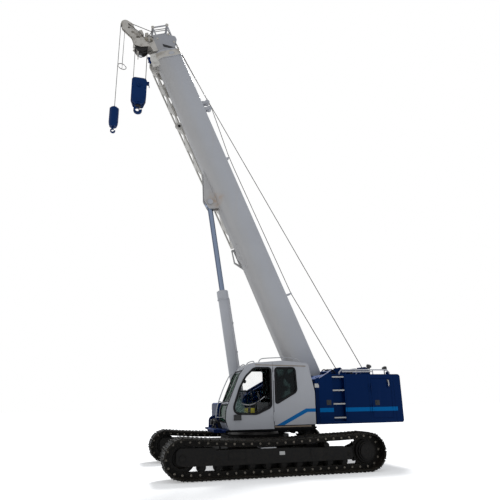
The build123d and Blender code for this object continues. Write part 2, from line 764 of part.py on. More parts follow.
handle = block((700, 790), (cab_outer_y - 5, cab_outer_y + 30), (1230, 1275))
for z in (1120, 2080):
    left_rear = left_rear.fuse(*knuckles(door_seam_x, cab_outer_y, z, -1, "frame"))
    cab_door = cab_door.fuse(*knuckles(door_seam_x, cab_outer_y, z, 1, "door"))
save("cab_floor", cab_floor.fuse(sill))
save("cab_roof", cab_roof)
save("cab_rear_panel", cab_rear)
save("cab_front_frame", cab_front)
save("cab_left_panel", left_rear)
save("cab_right_panel", cab_right)
save("cab_door", cab_door.fuse(handle))


def pane(window, y_middle):
    return side_plate(offset(window, -pane_gap), y_middle - 3, y_middle + 3)


save("cab_door_glass", pane(door_window, cab_outer_y - 20))
side_panes = [pane(rear_window, cab_outer_y - 20), pane(right_window, cab_inner_y + 25)]
fixed_panes = front_panes + [rear_sheet] + side_panes
save("cab_glass", Compound(children=[solid for item in fixed_panes for solid in item.solids()]))


seat_back = Pos(-450, 860, 1830) * Rot(0, -12, 0) * Box(120, 460, 640)
seat_base = block((-420, -40), (700, 1020), (floor_top, 1400))
cushion = block((-480, 60), (630, 1090), (1400, 1530))
save("seat", seat_base.fuse(cushion, seat_back))
consoles = [block((-350, 250), (y, y + 110), (floor_top, 1560)) for y in (490, 1110)]
front_console = block((560, 800), (620, 1000), (floor_top, 1440))
save("consoles", Compound(children=consoles + [front_console]))


# Boom: drawn along x with z up, then tilted about the foot pin

boom_place = Location((pivot_x, 0, pivot_z), (0, -boom_angle, 0))


def section_face(width, height, grow=0.0):
    """A boom section: small corners on top, a deep rounded belly."""
    half_y, half_z = width / 2 + grow, height / 2 + grow
    top, belly = width * 0.12 + grow, width * 0.36 + grow
    corners = ((-half_y, half_z), (half_y, half_z), (half_y, -half_z), (-half_y, -half_z))
    return make_face(FilletPolyline(*corners, radius=[top, top, belly, belly], close=True))


def along_boom(face, s_low, s_high):
    """Sweep a face drawn in y and z along the boom's axis."""
    across = Plane(origin=(s_low, 0, 0), x_dir=(0, 1, 0), z_dir=(1, 0, 0))
    return extrude(across * face, amount=s_high - s_low)


def tube(key):
    s_low, s_high, width, height, wall = sections[key]
    face = section_face(width, height)
    return along_boom(face - section_face(width, height, -wall), s_low, s_high)


def pads(outer_key, inner_key):
    """Wear pads in the outer section's mouth, and on the inner section's tail."""
    o_low, o_high, o_width, o_height, o_wall = sections[outer_key]
    i_low, i_high, i_width, i_height, i_wall = sections[inner_key]
    mouth, tail = [], []
    half = i_width * 0.14
    reach = (o_height / 2 - o_wall) - (i_height / 2)
    side = (o_width / 2 - o_wall) - (i_width / 2)
    for y in (-half, half):
        mouth.append(block((o_high - pad_length, o_high - 10), (y - 45, y + 45),
                           (-i_height / 2 - reach - 3, -i_height / 2 - bearing_gap)))
        mouth.append(block((o_high - pad_length, o_high - 10), (y - 45, y + 45),
                           (i_height / 2 + bearing_gap, i_height / 2 + reach + 3)))
    for sign in (-1, 1):
        y0, y1 = sorted((sign * (i_width / 2 + bearing_gap), sign * (i_width / 2 + side + 3)))
        mouth.append(block((o_high - pad_length, o_high - 10), (y0, y1), (-20, 120)))
        tail.append(block((i_low + 20, i_low + pad_length), (sign * half * 1.2 - 40, sign * half * 1.2 + 40),
                          (i_height / 2 - 3, i_height / 2 + reach - bearing_gap)))
    return mouth, tail


def collar(key, length, proud):
    """The thickened band at a section's mouth."""
    s_low, s_high, width, height, wall = sections[key]
    band = section_face(width, height, proud) - section_face(width, height, -wall)
    return along_boom(band, s_high - length, s_high)


def jib_middle(s):
    """How far over the boom's axis the jib's middle lies at a place along the boom."""
    return jib_start_z - (s - jib_s[0]) * sin(radians(jib_lean))


def rope_roller(s, rise, radius, half):
    """A rope roller across the boom, between two upright plates."""
    foot = sections["base"][3] / 2 - 3
    reach = min(radius * 0.6, 22.0)
    face = outline(((s - radius, foot, 0), (s + radius, foot, 0), (s + reach, rise + reach, reach * 0.6),
                    (s - reach, rise + reach, reach * 0.6)))
    plates = [side_plate(face, low, low + 14) for low in (half, -half - 14)]
    return [cross_rod(s, rise, radius, -half - 2, half + 2)] + plates


def stow_bracket():
    """One of the two open brackets under the boom that the hook is stowed on."""
    low = -sections["base"][3] / 2
    outer = outline(((4420, low + 70, 0), (4420, low - 70, 20), (4010, low - 150, 40), (3700, low + 70, 0)))
    window = outline(((4350, low - 20, 10), (4350, low - 50, 10), (4030, low - 105, 20),
                      (3930, low - 20, 10)))
    return outer - window


def boom_base():
    s_low, s_high, width, height, wall = sections["base"]
    body = tube("base").fuse(collar("base", 230, 22))
    cheek = outline((
        (700, height / 2 - 30, 40), (-60, 215, 0), (-225, 60, 200), (-225, -120, 160), (-60, -225, 200),
        (s_low + 200, -height / 2 + 150, 100), (s_low + 500, -height / 2 + 170, 60),
        (s_low + 500, height / 2 - 60, 0)))
    cheek -= Circle(pivot_pin + bearing_gap)
    cheeks = [side_plate(cheek, low, low + 38) for low in (width / 2 - 38, -width / 2)]
    bosses = [cross_rod(0, 0, 170, low, low + 25) for low in (width / 2 - 5, -width / 2 - 20)]
    bore = cross_rod(0, 0, pivot_pin + bearing_gap, -width, width)
    belly = -height / 2 + 40
    lug = outline((
        (ram_eye_s - 260, belly, 0), (ram_eye_s - 190, -ram_eye_d - 100, 90),
        (ram_eye_s + 130, -ram_eye_d - 135, 110), (ram_eye_s + 1120, belly, 0)))
    half_eye = ram_eye_width / 2 + slide_gap
    lugs = [side_plate(lug, low, low + 35) for low in (half_eye, -half_eye - 35)]
    inside = along_boom(section_face(width, height, -wall), s_low, s_high)
    ram_pin_rod = cross_rod(ram_eye_s, -ram_eye_d, ram_pin, -half_eye - 60, half_eye + 60)
    bracket_y = width / 2 - 85
    brackets = [side_plate(stow_bracket(), low, low + 24) for low in (bracket_y, -bracket_y - 24)]
    mouth, tail = pads("base", "second")
    rollers_on_top = [piece for place in rope_rollers for piece in rope_roller(*place)]
    hangers = [block((s - 45, s + 45), (jib_y[1], -width / 2 + 2), (jib_middle(s) + 130, jib_middle(s) + 190))
               for s in jib_hanger_s]
    base = body.fuse(*cheeks, *bosses, *hangers)
    for item in lugs + brackets:
        base += item - inside
    base = base.fuse(ram_pin_rod, *mouth, *rollers_on_top)
    return base - bore


save("boom_base", boom_place * boom_base())


def inner_section(key, inner_key, outer_key):
    body = tube(key).fuse(collar(key, 50, 12))
    mouth = pads(key, inner_key)[0]
    tail = pads(outer_key, key)[1]
    return body.fuse(*mouth, *tail)


save("boom_section_2", boom_place * inner_section("second", "third", "base"))
save("boom_section_3", boom_place * inner_section("third", "tip", "second"))


def boom_tip():
    """The innermost section with the head that carries the sheaves."""
    s_low, s_high, width, height, wall = sections["tip"]
    tail = pads("third", "tip")[1]
    body = tube("tip").fuse(*tail)
    head = outline((
        (s_high - 50, 290, 0), (s_high + 220, 480, 60), (s_high + 350, 480, 60), (s_high + 490, 220, 150),
        (s_high + 530, -240, 300), (head_sheave_s + 250, -head_sheave_d - 110, 100),
        (head_sheave_s + 80, -head_sheave_d - 250, 100), (head_sheave_s - 60, -head_sheave_d - 40, 60),
        (head_sheave_s - 90, -430, 80), (s_high - 50, -400, 60)))
    half = width / 2
    sides = [side_plate(head, low, low + 30) for low in (half, -half - 30)]
    back = block((s_high - 20, s_high + 10), (-half - 10, half + 10), (-300, 290))
    top = block((s_high + 225, s_high + 355), (-half - 10, half + 10), (452, 480))
    post_y, post_s, post_z = half + 15, s_high + 830, (-110, 370)
    posts = [block((s_high + 330, post_s), (y - 14, y + 14), (z - 18, z + 18))
             for y in (-post_y, post_y) for z in post_z]
    posts += [block((post_s - 34, post_s), (y - 14, y + 14), post_z) for y in (-post_y, post_y)]
    roller_bars = [cross_rod(post_s - 17, z, 36, -post_y + 10, post_y - 10) for z in post_z]
    shaft = cross_rod(head_sheave_s, -head_sheave_d, sheave_shaft, -half - 50, half + 50)
    spreader = cross_rod(s_high + 380, -120, 45, -half - 10, half + 10)
    return body.fuse(*sides, back, top, shaft, spreader, *posts, *roller_bars)


save("boom_tip", boom_place * boom_tip())


def sheaves(s, d, radius, places, shaft):
    """Grooved rope wheels side by side on one shaft, as one turned piece."""
    profile = []
    for y in places:
        profile += [(radius, y - sheave_half), (radius - groove_depth, y), (radius, y + sheave_half)]
        if y != places[-1]:
            middle = y + sheave_step / 2
            profile += [(radius - 2 * groove_depth, middle - 4), (radius - 2 * groove_depth, middle + 4)]
    ends = [(shaft + bearing_gap, places[-1] + sheave_half), (shaft + bearing_gap, places[0] - sheave_half)]
    wheel = revolve(Plane.XY * make_face(Polyline(*profile, *ends, close=True)), axis=Axis.Y)
    return Pos(s, 0, -d) * wheel


head_rope_y = [k * sheave_step for k in (-2, -1, 0, 1, 2)]
save("head_sheaves", boom_place * sheaves(head_sheave_s, head_sheave_d, head_sheave_radius, head_rope_y,
                                          sheave_shaft))


def rooster():
    """The single-line arm that stands out from the head, with its shaft."""
    s_high = sections["tip"][1]
    arm = outline((
        (head_sheave_s + 225, -520, 20), (head_sheave_s + 480, -500, 60),
        (tip_sheave_s - 260, -tip_sheave_d + 250, 80),
        (tip_sheave_s - 40, -tip_sheave_d + 250, 80), (tip_sheave_s + 160, -tip_sheave_d + 90, 120),
        (tip_sheave_s + 130, -tip_sheave_d - 90, 120), (tip_sheave_s - 120, -tip_sheave_d - 130, 100),
        (head_sheave_s + 450, -830, 150), (head_sheave_s + 225, -850, 20)))
    holes = ((head_sheave_s + 400, 640, 60), (head_sheave_s + 620, 740, 45), (tip_sheave_s - 150, 800, 36))
    for s, d, radius in holes:
        arm -= Pos(s, -d) * Circle(radius)
    sides = [side_plate(arm, low, low + 18) for low in (40, -58)]
    shaft = cross_rod(tip_sheave_s, -tip_sheave_d, 28, -62, 62)
    half = sections["tip"][2] / 2
    foot = block((head_sheave_s + 225, head_sheave_s + 245), (-half, half), (-760, -560))
    return sides[0].fuse(sides[1], shaft, foot)


save("rooster", boom_place * rooster())
save("rooster_sheave", boom_place * sheaves(tip_sheave_s, tip_sheave_d, tip_sheave_radius, [0.0], 28))


# Luffing cylinder: drawn along x from the barrel's foot, then tilted

tilt = radians(boom_angle)
ram_eye = (pivot_x + ram_eye_s * cos(tilt) + ram_eye_d * sin(tilt),
           pivot_z + ram_eye_s * sin(tilt) - ram_eye_d * cos(tilt))
ram_length = hypot(ram_eye[0] - ram_foot[0], ram_eye[1] - ram_foot[1])
ram_angle = degrees(atan2(ram_eye[1] - ram_foot[1], ram_eye[0] - ram_foot[0]))
ram_place = Location((ram_foot[0], 0, ram_foot[1]), (0, -ram_angle, 0))


def ram_bar(radius, low, high):
    return extrude(Plane(origin=(low, 0, 0), z_dir=(1, 0, 0)) * Circle(radius), amount=high - low)


def ram_barrel():
    body = ram_bar(barrel_radius, 130, barrel_length)
    body -= ram_bar(barrel_bore, 190, barrel_length - gland_length)
    body += ram_bar(barrel_radius + 14, barrel_length - gland_length, barrel_length)
    body -= ram_bar(rod_radius + bearing_gap, 100 + gland_length, barrel_length + 1)
    eye = cross_rod(0, 0, 150, -150, 150)
    return (body + eye) - cross_rod(0, 0, 61, -200, 200)


def ram_rod():
    rod = ram_bar(rod_radius, ram_length - rod_length, ram_length - 60)
    piston = ram_bar(barrel_bore - bearing_gap, ram_length - rod_length, ram_length - rod_length + 150)
    eye = cross_rod(ram_length, 0, ram_eye_radius, -ram_eye_width / 2, ram_eye_width / 2)
    return rod.fuse(piston, eye) - cross_rod(ram_length, 0, ram_pin + bearing_gap, -200, 200)


save("luffing_barrel", ram_place * ram_barrel())
save("luffing_rod", ram_place * ram_rod())


# Stowed lattice jib on the boom's right side


def truss_windows(length, depth, bays):
    """Triangles between zigzag lacing, in a strip of the given length and depth."""
    found = []
    bay = length / bays
    low, high = -depth / 2 + chord, depth / 2 - chord
    for k in range(bays):
        x0, x1 = k * bay, (k + 1) * bay
        mid = (x0 + x1) / 2
        near, wide = lacing * 0.9, lacing * 1.4
        found.append(Polygon((x0 + wide, low), (x1 - wide, low), (mid, high - near), align=None))
        if k < bays - 1:
            corners = ((mid + near, high), (x1 + bay / 2 - near, high), (x1, low + near))
        else:
            corners = ((mid + near, high), (x1 - near, high), (x1 - near, low + wide))
        found.append(Polygon(*corners, align=None))
    return found


def lattice_jib():
    length = jib_s[1] - jib_s[0]
    width, height = jib_y[1] - jib_y[0], jib_depth
    body = block((0, length), (-width / 2, width / 2), (-height / 2, height / 2))
    body -= block((lacing, length - lacing), (-width / 2 + lacing, width / 2 - lacing),
                  (-height / 2 + lacing, height / 2 - lacing))
    for window in truss_windows(length, height, jib_bays):
        body -= side_plate(window, -width, width)
    flat = Plane(origin=(0, 0, -height), x_dir=(1, 0, 0), z_dir=(0, 0, 1))
    for window in truss_windows(length, width, jib_bays):
        body -= extrude(flat * window, amount=2 * height)
    body = Pos(jib_s[0], (jib_y[0] + jib_y[1]) / 2, jib_start_z) * Rot(0, jib_lean, 0) * body
    ear_s = 8790.0
    ear_z = jib_middle(ear_s) - height / 2 - 20
    ear = Pos(ear_s, ear_z) * (Circle(125) - Circle(42))
    return body.fuse(side_plate(ear, jib_y[1] - lacing, jib_y[1]))


save("lattice_jib", boom_place * lattice_jib())


# Hook blocks, hanging plumb

def on_boom(s, d):
    return (pivot_x + s * cos(tilt) + d * sin(tilt), pivot_z + s * sin(tilt) - d * cos(tilt))


head_x, head_z = on_boom(head_sheave_s, head_sheave_d)
tip_x, tip_z = on_boom(tip_sheave_s, tip_sheave_d)


def hook(x, top_z, tip_low, radius, thickness):
    """A crane hook: a shank and an open ring, drawn from arcs."""
    centre_z = tip_low + radius
    inner = radius * 0.48
    ring = Circle(radius) - Pos(radius * 0.08, radius * 0.05) * Circle(inner)
    side, rise = -radius * 1.6, radius * 1.6
    mouth = Polygon((0, 0), (-radius * 0.55, rise), (side, rise), (side, radius * 0.35), align=None)
    ring -= mouth
    face = Pos(x, centre_z) * ring
    neck, narrow = centre_z + radius * 0.62, radius * 0.42
    shank = outline(((x - radius * 0.1, neck, 0), (x + radius * 0.55, neck, 0),
                     (x + narrow, top_z, 0), (x - narrow, top_z, 0)))
    bow, stem = [side_plate(item, -thickness / 2, thickness / 2) for item in (face, shank)]
    return bow.fuse(stem)


main_block_z = head_z - block_drop


def main_block():
    """Cheek plates round the sheaves, the crosshead and the hook."""
    low, high, half = main_block_z - block_foot, main_block_z + block_rise, block_half_width
    taper = half * 0.64
    cheek = outline((
        (head_x - taper, low, 60), (head_x + taper, low, 60), (head_x + half, low + half, 100),
        (head_x + half, high, 110), (head_x - half, high, 110), (head_x - half, low + half, 100)))
    plates = [side_plate(cheek, y, y + block_plate) for y in block_plate_y]
    reach = block_plate_y[2] + block_plate
    pin = cross_rod(head_x, main_block_z, 45, -reach - 20, reach + 20)
    cross = block((head_x - 110, head_x + 110), (20 - reach, reach - 20), (low + 10, low + 130))
    shank = hook(head_x, low + 30, main_block_z - hook_reach, hook_radius, 70)
    return plates[0].fuse(*plates[1:], pin, cross, shank)


save("main_hook_block", main_block())
block_rope_y = (-sheave_step, sheave_step)
block_wheels = [Pos(0, y, 0) * sheaves(0, 0, head_sheave_radius, [0.0], 45) for y in block_rope_y]
save("block_sheaves", Pos(head_x, 0, main_block_z) * Compound(children=block_wheels))
fall_reach = head_sheave_radius - rope_seat
falls = [along((x, y, main_block_z), (x, y, head_z), rope_radius)
         for y in block_rope_y for x in (head_x - fall_reach, head_x + fall_reach)]
save("main_falls", Compound(children=falls))


ball_x = tip_x + tip_sheave_radius - rope_seat
ball_top_z = tip_z - ball_drop
ball_low_z = ball_top_z - ball_height


def ball_hook():
    """The single-line weight: a round-shouldered cylinder with a swivel and a hook."""
    radius, swivel_z = ball_radius, ball_top_z + 60
    profile = [(0, ball_low_z), (radius - 35, ball_low_z), (radius - 12, ball_low_z + 70),
               (radius, ball_low_z + 150), (radius, ball_top_z - 35), (radius - 30, ball_top_z),
               (30, ball_top_z), (24, swivel_z), (0, swivel_z)]
    body = Pos(ball_x, 0, 0) * revolve(Plane.XZ * make_face(Polyline(*profile, close=True)), axis=Axis.Z)
    return body.fuse(hook(ball_x, ball_low_z + 10, ball_top_z - ball_hook_reach, ball_hook_radius, 40))


save("ball_hook", ball_hook())
save("ball_fall", along((ball_x, 0, ball_top_z + 60), (ball_x, 0, tip_z), rope_radius))


# Hoist ropes along and behind the boom. Their lower ends stop short of the drums that they wind on,
# so that the straight ropes, which tilt with the boom, stay clear of the drums.

def rope_run(places, y):
    """A taut rope through places along the boom, given as s and height over its axis."""
    path = Polyline(*[(s, y, z) for s, z in places])
    across = Plane(origin=path @ 0, z_dir=path % 0) * Circle(rope_radius)
    return sweep(across, path=path, transition=Transition.RIGHT)


def over(place):
    """Where a rope lies on a rope roller."""
    s, rise, radius, half = rope_rollers[place]
    return (s, rise + radius + rope_radius)


def toward_drum(start, drum_x, length):
    """The place a length on from a start, on the line that touches a wound drum on its rear side."""
    x, z = on_boom(start[0], -start[1])
    reach = winch_drum + drum_layers
    away = hypot(drum_x - x, winch_z - z)
    heading = atan2(winch_z - z, drum_x - x) - asin(reach / away)
    turn = heading - tilt
    return (start[0] + length * cos(turn), start[1] + length * sin(turn))


main_places = [over(1), over(2), over(3)]
main_places.append(toward_drum(main_places[-1], winch_x[0], rope_lead))
tail_places = [over(0)]
tail_places.append(toward_drum(tail_places[0], winch_x[1], tail_rope_lead))
ropes = [rope_run(main_places, rope_y[0]), rope_run(tail_places, rope_y[1])]
save("hoist_ropes", boom_place * Compound(children=ropes))
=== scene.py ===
from math import asin, atan2, cos, degrees, hypot, pi, radians, sin

import bmesh
import bpy
from mathutils import Matrix, Vector
from mathutils.bvhtree import BVHTree


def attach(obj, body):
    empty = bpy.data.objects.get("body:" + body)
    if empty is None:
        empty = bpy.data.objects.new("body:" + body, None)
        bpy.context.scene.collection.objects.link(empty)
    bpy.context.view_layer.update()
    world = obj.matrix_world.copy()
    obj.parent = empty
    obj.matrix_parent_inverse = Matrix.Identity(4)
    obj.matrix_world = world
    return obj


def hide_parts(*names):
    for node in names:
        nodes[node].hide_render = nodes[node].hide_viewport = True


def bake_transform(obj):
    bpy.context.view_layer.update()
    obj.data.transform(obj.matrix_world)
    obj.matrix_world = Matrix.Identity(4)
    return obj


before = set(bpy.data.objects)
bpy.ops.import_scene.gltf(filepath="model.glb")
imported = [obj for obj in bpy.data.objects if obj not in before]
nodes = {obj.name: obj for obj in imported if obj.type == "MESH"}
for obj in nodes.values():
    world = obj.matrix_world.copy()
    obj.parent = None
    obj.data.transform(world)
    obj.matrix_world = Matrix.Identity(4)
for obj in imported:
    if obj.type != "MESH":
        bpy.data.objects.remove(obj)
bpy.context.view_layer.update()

print("frame loaded:", len(nodes), "nodes")


def addObject(name, data):
    made = bpy.data.objects.new(name, data)
    bpy.context.scene.collection.objects.link(made)
    return made


# Camera: the photo's viewpoint, at a person's height beside the crane, looking up a little
cameraValues = {"place": (3.6616, 13.2529, 1.5354), "yaw": 0.2679, "pitch": 0.3058, "roll": -0.0176, "lens": 35.09,
                "reach": 500}


def placeCamera(v):
    yaw, pitch, roll = v["yaw"], v["pitch"], v["roll"]
    forward = Vector((-sin(yaw) * cos(pitch), -cos(yaw) * cos(pitch), sin(pitch)))
    level = Vector((-cos(yaw), sin(yaw), 0))
    upward = level.cross(forward)
    right = level * cos(roll) + upward * sin(roll)
    up = upward * cos(roll) - level * sin(roll)
    data = bpy.data.cameras.new("photoCamera")
    data.lens = v["lens"]
    data.clip_end = v["reach"]
    camera = addObject("photoCamera", data)
    camera.matrix_world = Matrix.Translation(v["place"]) @ Matrix((right, up, -forward)).transposed().to_4x4()
    bpy.context.scene.camera = camera


placeCamera(cameraValues)

# The boom's own directions at rest: s along it from the foot pin, d under its axis
boomValues = {"pivot": (-1.6, 2.0), "angle": radians(67.2)}
pivotX, pivotZ = boomValues["pivot"]
boomCos, boomSin = cos(boomValues["angle"]), sin(boomValues["angle"])


def onBoom(s, y, d):
    return Vector((pivotX + s * boomCos + d * boomSin, y, pivotZ + s * boomSin - d * boomCos))


def boomTurn(s, y, d):
    return Matrix.Translation(onBoom(s, y, d)) @ Matrix.Rotation(-boomValues["angle"], 4, "Y")


# The luffing cylinder's line at rest, from the barrel's foot to the rod's eye
ramValues = {"foot": (0.36, 0, 1.2), "eye": (1.25496, 0, 7.24336), "collar": 3.17, "gland": 3.418, "glandBolts": 10,
             "block": 0.55, "pipe": (0.6, 3.2), "clamps": (0.9, 1.7, 2.5)}
ramFoot = Vector(ramValues["foot"])
ramUp = (Vector(ramValues["eye"]) - ramFoot).normalized()
ramAhead = Vector((ramUp.z, 0, -ramUp.x))


# Whatever a material works out (a number, colour, place or shader); numbers join with plain signs
class Value:
    def __init__(self, node, output=0):
        self.socket = node.outputs[output]
        self.tree = node.id_data

    def __add__(self, other):
        return calc("ADD", self, other)

    def __sub__(self, other):
        return calc("SUBTRACT", self, other)

    def __mul__(self, other):
        return calc("MULTIPLY", self, other)

    def __gt__(self, other):
        return calc("GREATER_THAN", self, other)

    def __lt__(self, other):
        return calc("LESS_THAN", self, other)

    def __abs__(self):
        return calc("ABSOLUTE", self)


def addNode(tree, kind, inputs=None, **settings):
    made = tree.nodes.new(kind)
    for key, value in settings.items():
        setattr(made, key, value)
    for key, value in (inputs or {}).items():
        socket = made.inputs[key]
        if isinstance(value, Value):
            tree.links.new(value.socket, socket)
        else:
            socket.default_value = (*value, 1) if socket.type == "RGBA" else value
    return made


def calc(operation, first, *others):
    inputs = dict(enumerate((first, *others)))
    return Value(addNode(first.tree, "ShaderNodeMath", inputs, operation=operation))


def mixColor(factor, first, second, blend="MIX"):
    inputs = {0: factor, 6: first, 7: second}
    return Value(addNode(factor.tree, "ShaderNodeMix", inputs, data_type="RGBA", blend_type=blend), 2)


def ramp(value, low, high, toLow=0.0, toHigh=1.0):
    inputs = dict(enumerate((value, low, high, toLow, toHigh)))
    return Value(addNode(value.tree, "ShaderNodeMapRange", inputs, interpolation_type="SMOOTHSTEP"))


def noise(where, scale, detail=4.0, stretch=None):
    if stretch:
        where = Value(addNode(where.tree, "ShaderNodeMapping", {"Vector": where, "Scale": stretch}))
    inputs = {"Vector": where, "Scale": scale, "Detail": detail}
    return Value(addNode(where.tree, "ShaderNodeTexNoise", inputs), "Fac")


def bump(height, strength, distance):
    inputs = {"Height": height, "Strength": strength, "Distance": distance}
    return Value(addNode(height.tree, "ShaderNodeBump", inputs))


def split(where):
    made = addNode(where.tree, "ShaderNodeSeparateXYZ", {0: where})
    return [Value(made, k) for k in range(3)]


def faceNormal(tree):
    return Value(addNode(tree, "ShaderNodeNewGeometry"), "Normal")


def upFacing(where):
    return ramp(split(faceNormal(where.tree))[2], 0.45, 0.95)


def edgeWear(radius, amount):
    tree = amount.tree
    bevel = Value(addNode(tree, "ShaderNodeBevel", {"Radius": radius}, samples=4))
    agree = addNode(tree, "ShaderNodeVectorMath", {0: bevel, 1: faceNormal(tree)}, operation="DOT_PRODUCT")
    return ramp(Value(agree, "Value"), 0.985, 0.86) * amount


def startMaterial(name):
    material = bpy.data.materials.new(name)
    material.use_nodes = True
    material.node_tree.nodes.clear()
    return material, Value(addNode(material.node_tree, "ShaderNodeTexCoord"), "Object")


def endMaterial(material, shader):
    addNode(material.node_tree, "ShaderNodeOutputMaterial", {"Surface": shader})
    return material


def endPrincipled(material, inputs):
    return endMaterial(material, Value(addNode(material.node_tree, "ShaderNodeBsdfPrincipled", inputs)))


# Paints: one recipe, what most paints share, and a dictionary for each colour of the crane
paintBase = {"coat": 0.0, "shine": 0.30, "dustLow": 0.0, "tint": (1.0, 1.0, 1.0), "grime": None, "grimeAhead": False,
             "boomShadeAndRust": False, "worn": 0.006, "faded": (0.72, 0.71, 0.70)}
paintValues = {
    "greyWhite": {"color": (0.420, 0.430, 0.460), "wear": (0.33, 0.31, 0.29), "rough": 0.36, "coat": 0.10,
                  "shine": 0.35, "dust": (0.42, 0.385, 0.33), "dustTop": 0.30, "streak": 0.14, "edge": 0.3},
    "warmGrey": {"color": (0.475, 0.452, 0.415), "wear": (0.22, 0.19, 0.155), "rough": 0.42, "shine": 0.35,
                 "dust": (0.30, 0.245, 0.18), "dustTop": 0.45, "streak": 0.42, "edge": 0.9,
                 "grime": (0.17, 0.145, 0.115), "grimeMost": 0.55},
    # navy's dust colour is a pale lavender: on up-facing faces it is a painted sky reflection
    "navy": {"color": (0.0006, 0.0085, 0.055), "wear": (0.006, 0.03, 0.12), "rough": 0.38,
             "dust": (0.13, 0.19, 0.43), "dustTop": 0.75, "streak": 0.012, "edge": 0.45, "tint": (0.10, 0.36, 1.0)},
    "hookBlue": {"color": (0.002, 0.019, 0.090), "wear": (0.03, 0.06, 0.16), "rough": 0.42,
                 "dust": (0.08, 0.11, 0.18), "dustTop": 0.25, "streak": 0.05, "edge": 0.6, "tint": (0.25, 0.5, 1.0)},
    "black": {"color": (0.0048, 0.0047, 0.0050), "wear": (0.035, 0.031, 0.027), "rough": 0.5, "shine": 0.20,
              "dust": (0.10, 0.082, 0.06), "dustTop": 0.35, "dustLow": 0.06, "streak": 0.05, "edge": 0.35},
}
stripeValues = {"color": (0.0005, 0.112, 0.345), "tint": (0.05, 0.45, 1.0), "low": 1.306, "high": 1.405,
                "side": 1.285, "rear": -3.56, "front": -1.367, "upperFoot": (-0.18, 1.01),
                "upperTop": (-0.99, 1.403), "lowerFoot": (-0.374, 1.01), "lowerTop": (-1.03, 1.32)}


def housingStripe(where):
    x, y, z = split(where)
    v = stripeValues
    return (z > v["low"]) * (z < v["high"]) * (x > v["rear"]) * (x < v["front"]) * (abs(y) > v["side"])


def risingLine(x, foot, top):
    slope = (top[1] - foot[1]) / (top[0] - foot[0])
    return calc("MINIMUM", x * slope + (foot[1] - slope * foot[0]), top[1])


def cabStripe(where):
    x, y, z = split(where)
    v = stripeValues
    under = z < risingLine(x, v["upperFoot"], v["upperTop"])
    over = z > risingLine(x, v["lowerFoot"], v["lowerTop"])
    return under * over * (y > v["side"])


# How far along the boom a place is, and how far under its axis
def alongBoom(where):
    x, _, z = split(where)
    x, z = x - pivotX, z - pivotZ
    return x * boomCos + z * boomSin, x * boomSin - z * boomCos


# The boom's mouth and the front of its head are a warmer grey
mouthValues = {"start": 10.86, "end": 11.08, "front": 0.25}


def warmHead(where):
    along, under = alongBoom(where)
    v = mouthValues
    return (along > v["start"]) * calc("MAXIMUM", along < v["end"], under > v["front"])


# Painted shade on the boom: its underside warmer and its upper end darker. Its head is darker too, and a patch of
# rust marks the rod's lug
boomShadeAndRustValues = {"under": (-0.15, 0.35, (1.0, 0.965, 0.90)), "upper": (7.5, 10.8, (0.93, 0.93, 0.93)),
                   "head": (11.05, 11.12, (0.84, 0.84, 0.85)), "rustPlace": (5.95, 0.45), "rust": (0.40, 0.24, 0.11)}


def paintShadeAndRustOnBoom(where, color):
    along, under = alongBoom(where)
    for value, key in ((under, "under"), (along, "upper"), (along, "head")):
        start, end, shade = boomShadeAndRustValues[key]
        color = mixColor(ramp(value, start, end), color, shade, "MULTIPLY")
    s, d = boomShadeAndRustValues["rustPlace"]
    spot = ramp(abs(along - s) + abs(under - d), 0.40, 0.05)
    return mixColor(spot * ramp(noise(where, 9.0), 0.4, 0.6, 0.15, 0.5), color, boomShadeAndRustValues["rust"])


# Painted shade: the cab's right and rear panels are darkened inside, where their faces look left or forward
def paintedInsideShade(where):
    x, y, _ = split(faceNormal(where.tree))
    return x + y > 0.6


def blackDeck(where):
    x, y, z = split(where)
    return (z < 0.99) * (x < 1.04) * (abs(y) > 0.41)


def makePaint(name, values, mask=None, maskColor=None):
    v = {**paintBase, **values}
    material, where = startMaterial(name)
    patches, fine, grit = noise(where, 0.9), noise(where, 24.0, 6.0), noise(where, 160.0, 3.0)
    streaks = noise(where, 1.0, 5.0, (7.0, 7.0, 0.45))
    # painted shade on the boom's paint, with its patch of rust
    color = paintShadeAndRustOnBoom(where, v["color"]) if v["boomShadeAndRust"] else v["color"]
    color = mixColor(ramp(patches, 0.3, 0.7, 0.0, 0.22), color, v["faded"], "MULTIPLY")
    color = mixColor(ramp(streaks, 0.52, 0.78, 0.0, v["streak"]), color, v["dust"])
    tint = v["tint"]
    if mask:
        color = mixColor(mask(where), color, maskColor or stripeValues["color"])
    if mask and not maskColor:
        tint = mixColor(mask(where), tint, stripeValues["tint"])
    if v["grime"]:
        spread = ramp(noise(where, 5.5, 8.0), 0.48, 0.68, 0.0, v["grimeMost"])
        color = mixColor(spread * warmHead(where) if v["grimeAhead"] else spread, color, v["grime"])
    # dust on up-facing faces; with the navy paints' lavender this is a painted sky reflection instead
    top = upFacing(where) * ramp(fine, 0.25, 0.75, v["dustTop"] * 0.5, v["dustTop"])
    low = ramp(split(where)[2], 1.5, 0.1) * ramp(fine, 0.3, 0.7, 0.0, v["dustLow"] * 2)
    dust = top + low
    color = mixColor(dust, color, v["dust"])
    color = mixColor(edgeWear(v["worn"], ramp(fine, 0.45, 0.62, 0.0, v["edge"])), color, v["wear"])
    return endPrincipled(material, {
        "Base Color": color, "Roughness": dust * 0.5 + ramp(fine, 0.3, 0.7, v["rough"], v["rough"] + 0.08),
        "Normal": bump(grit + patches * 2.0, 0.06, 0.002), "Coat Weight": v["coat"], "Coat Roughness": 0.12,
        "Specular IOR Level": v["shine"], "Specular Tint": tint})


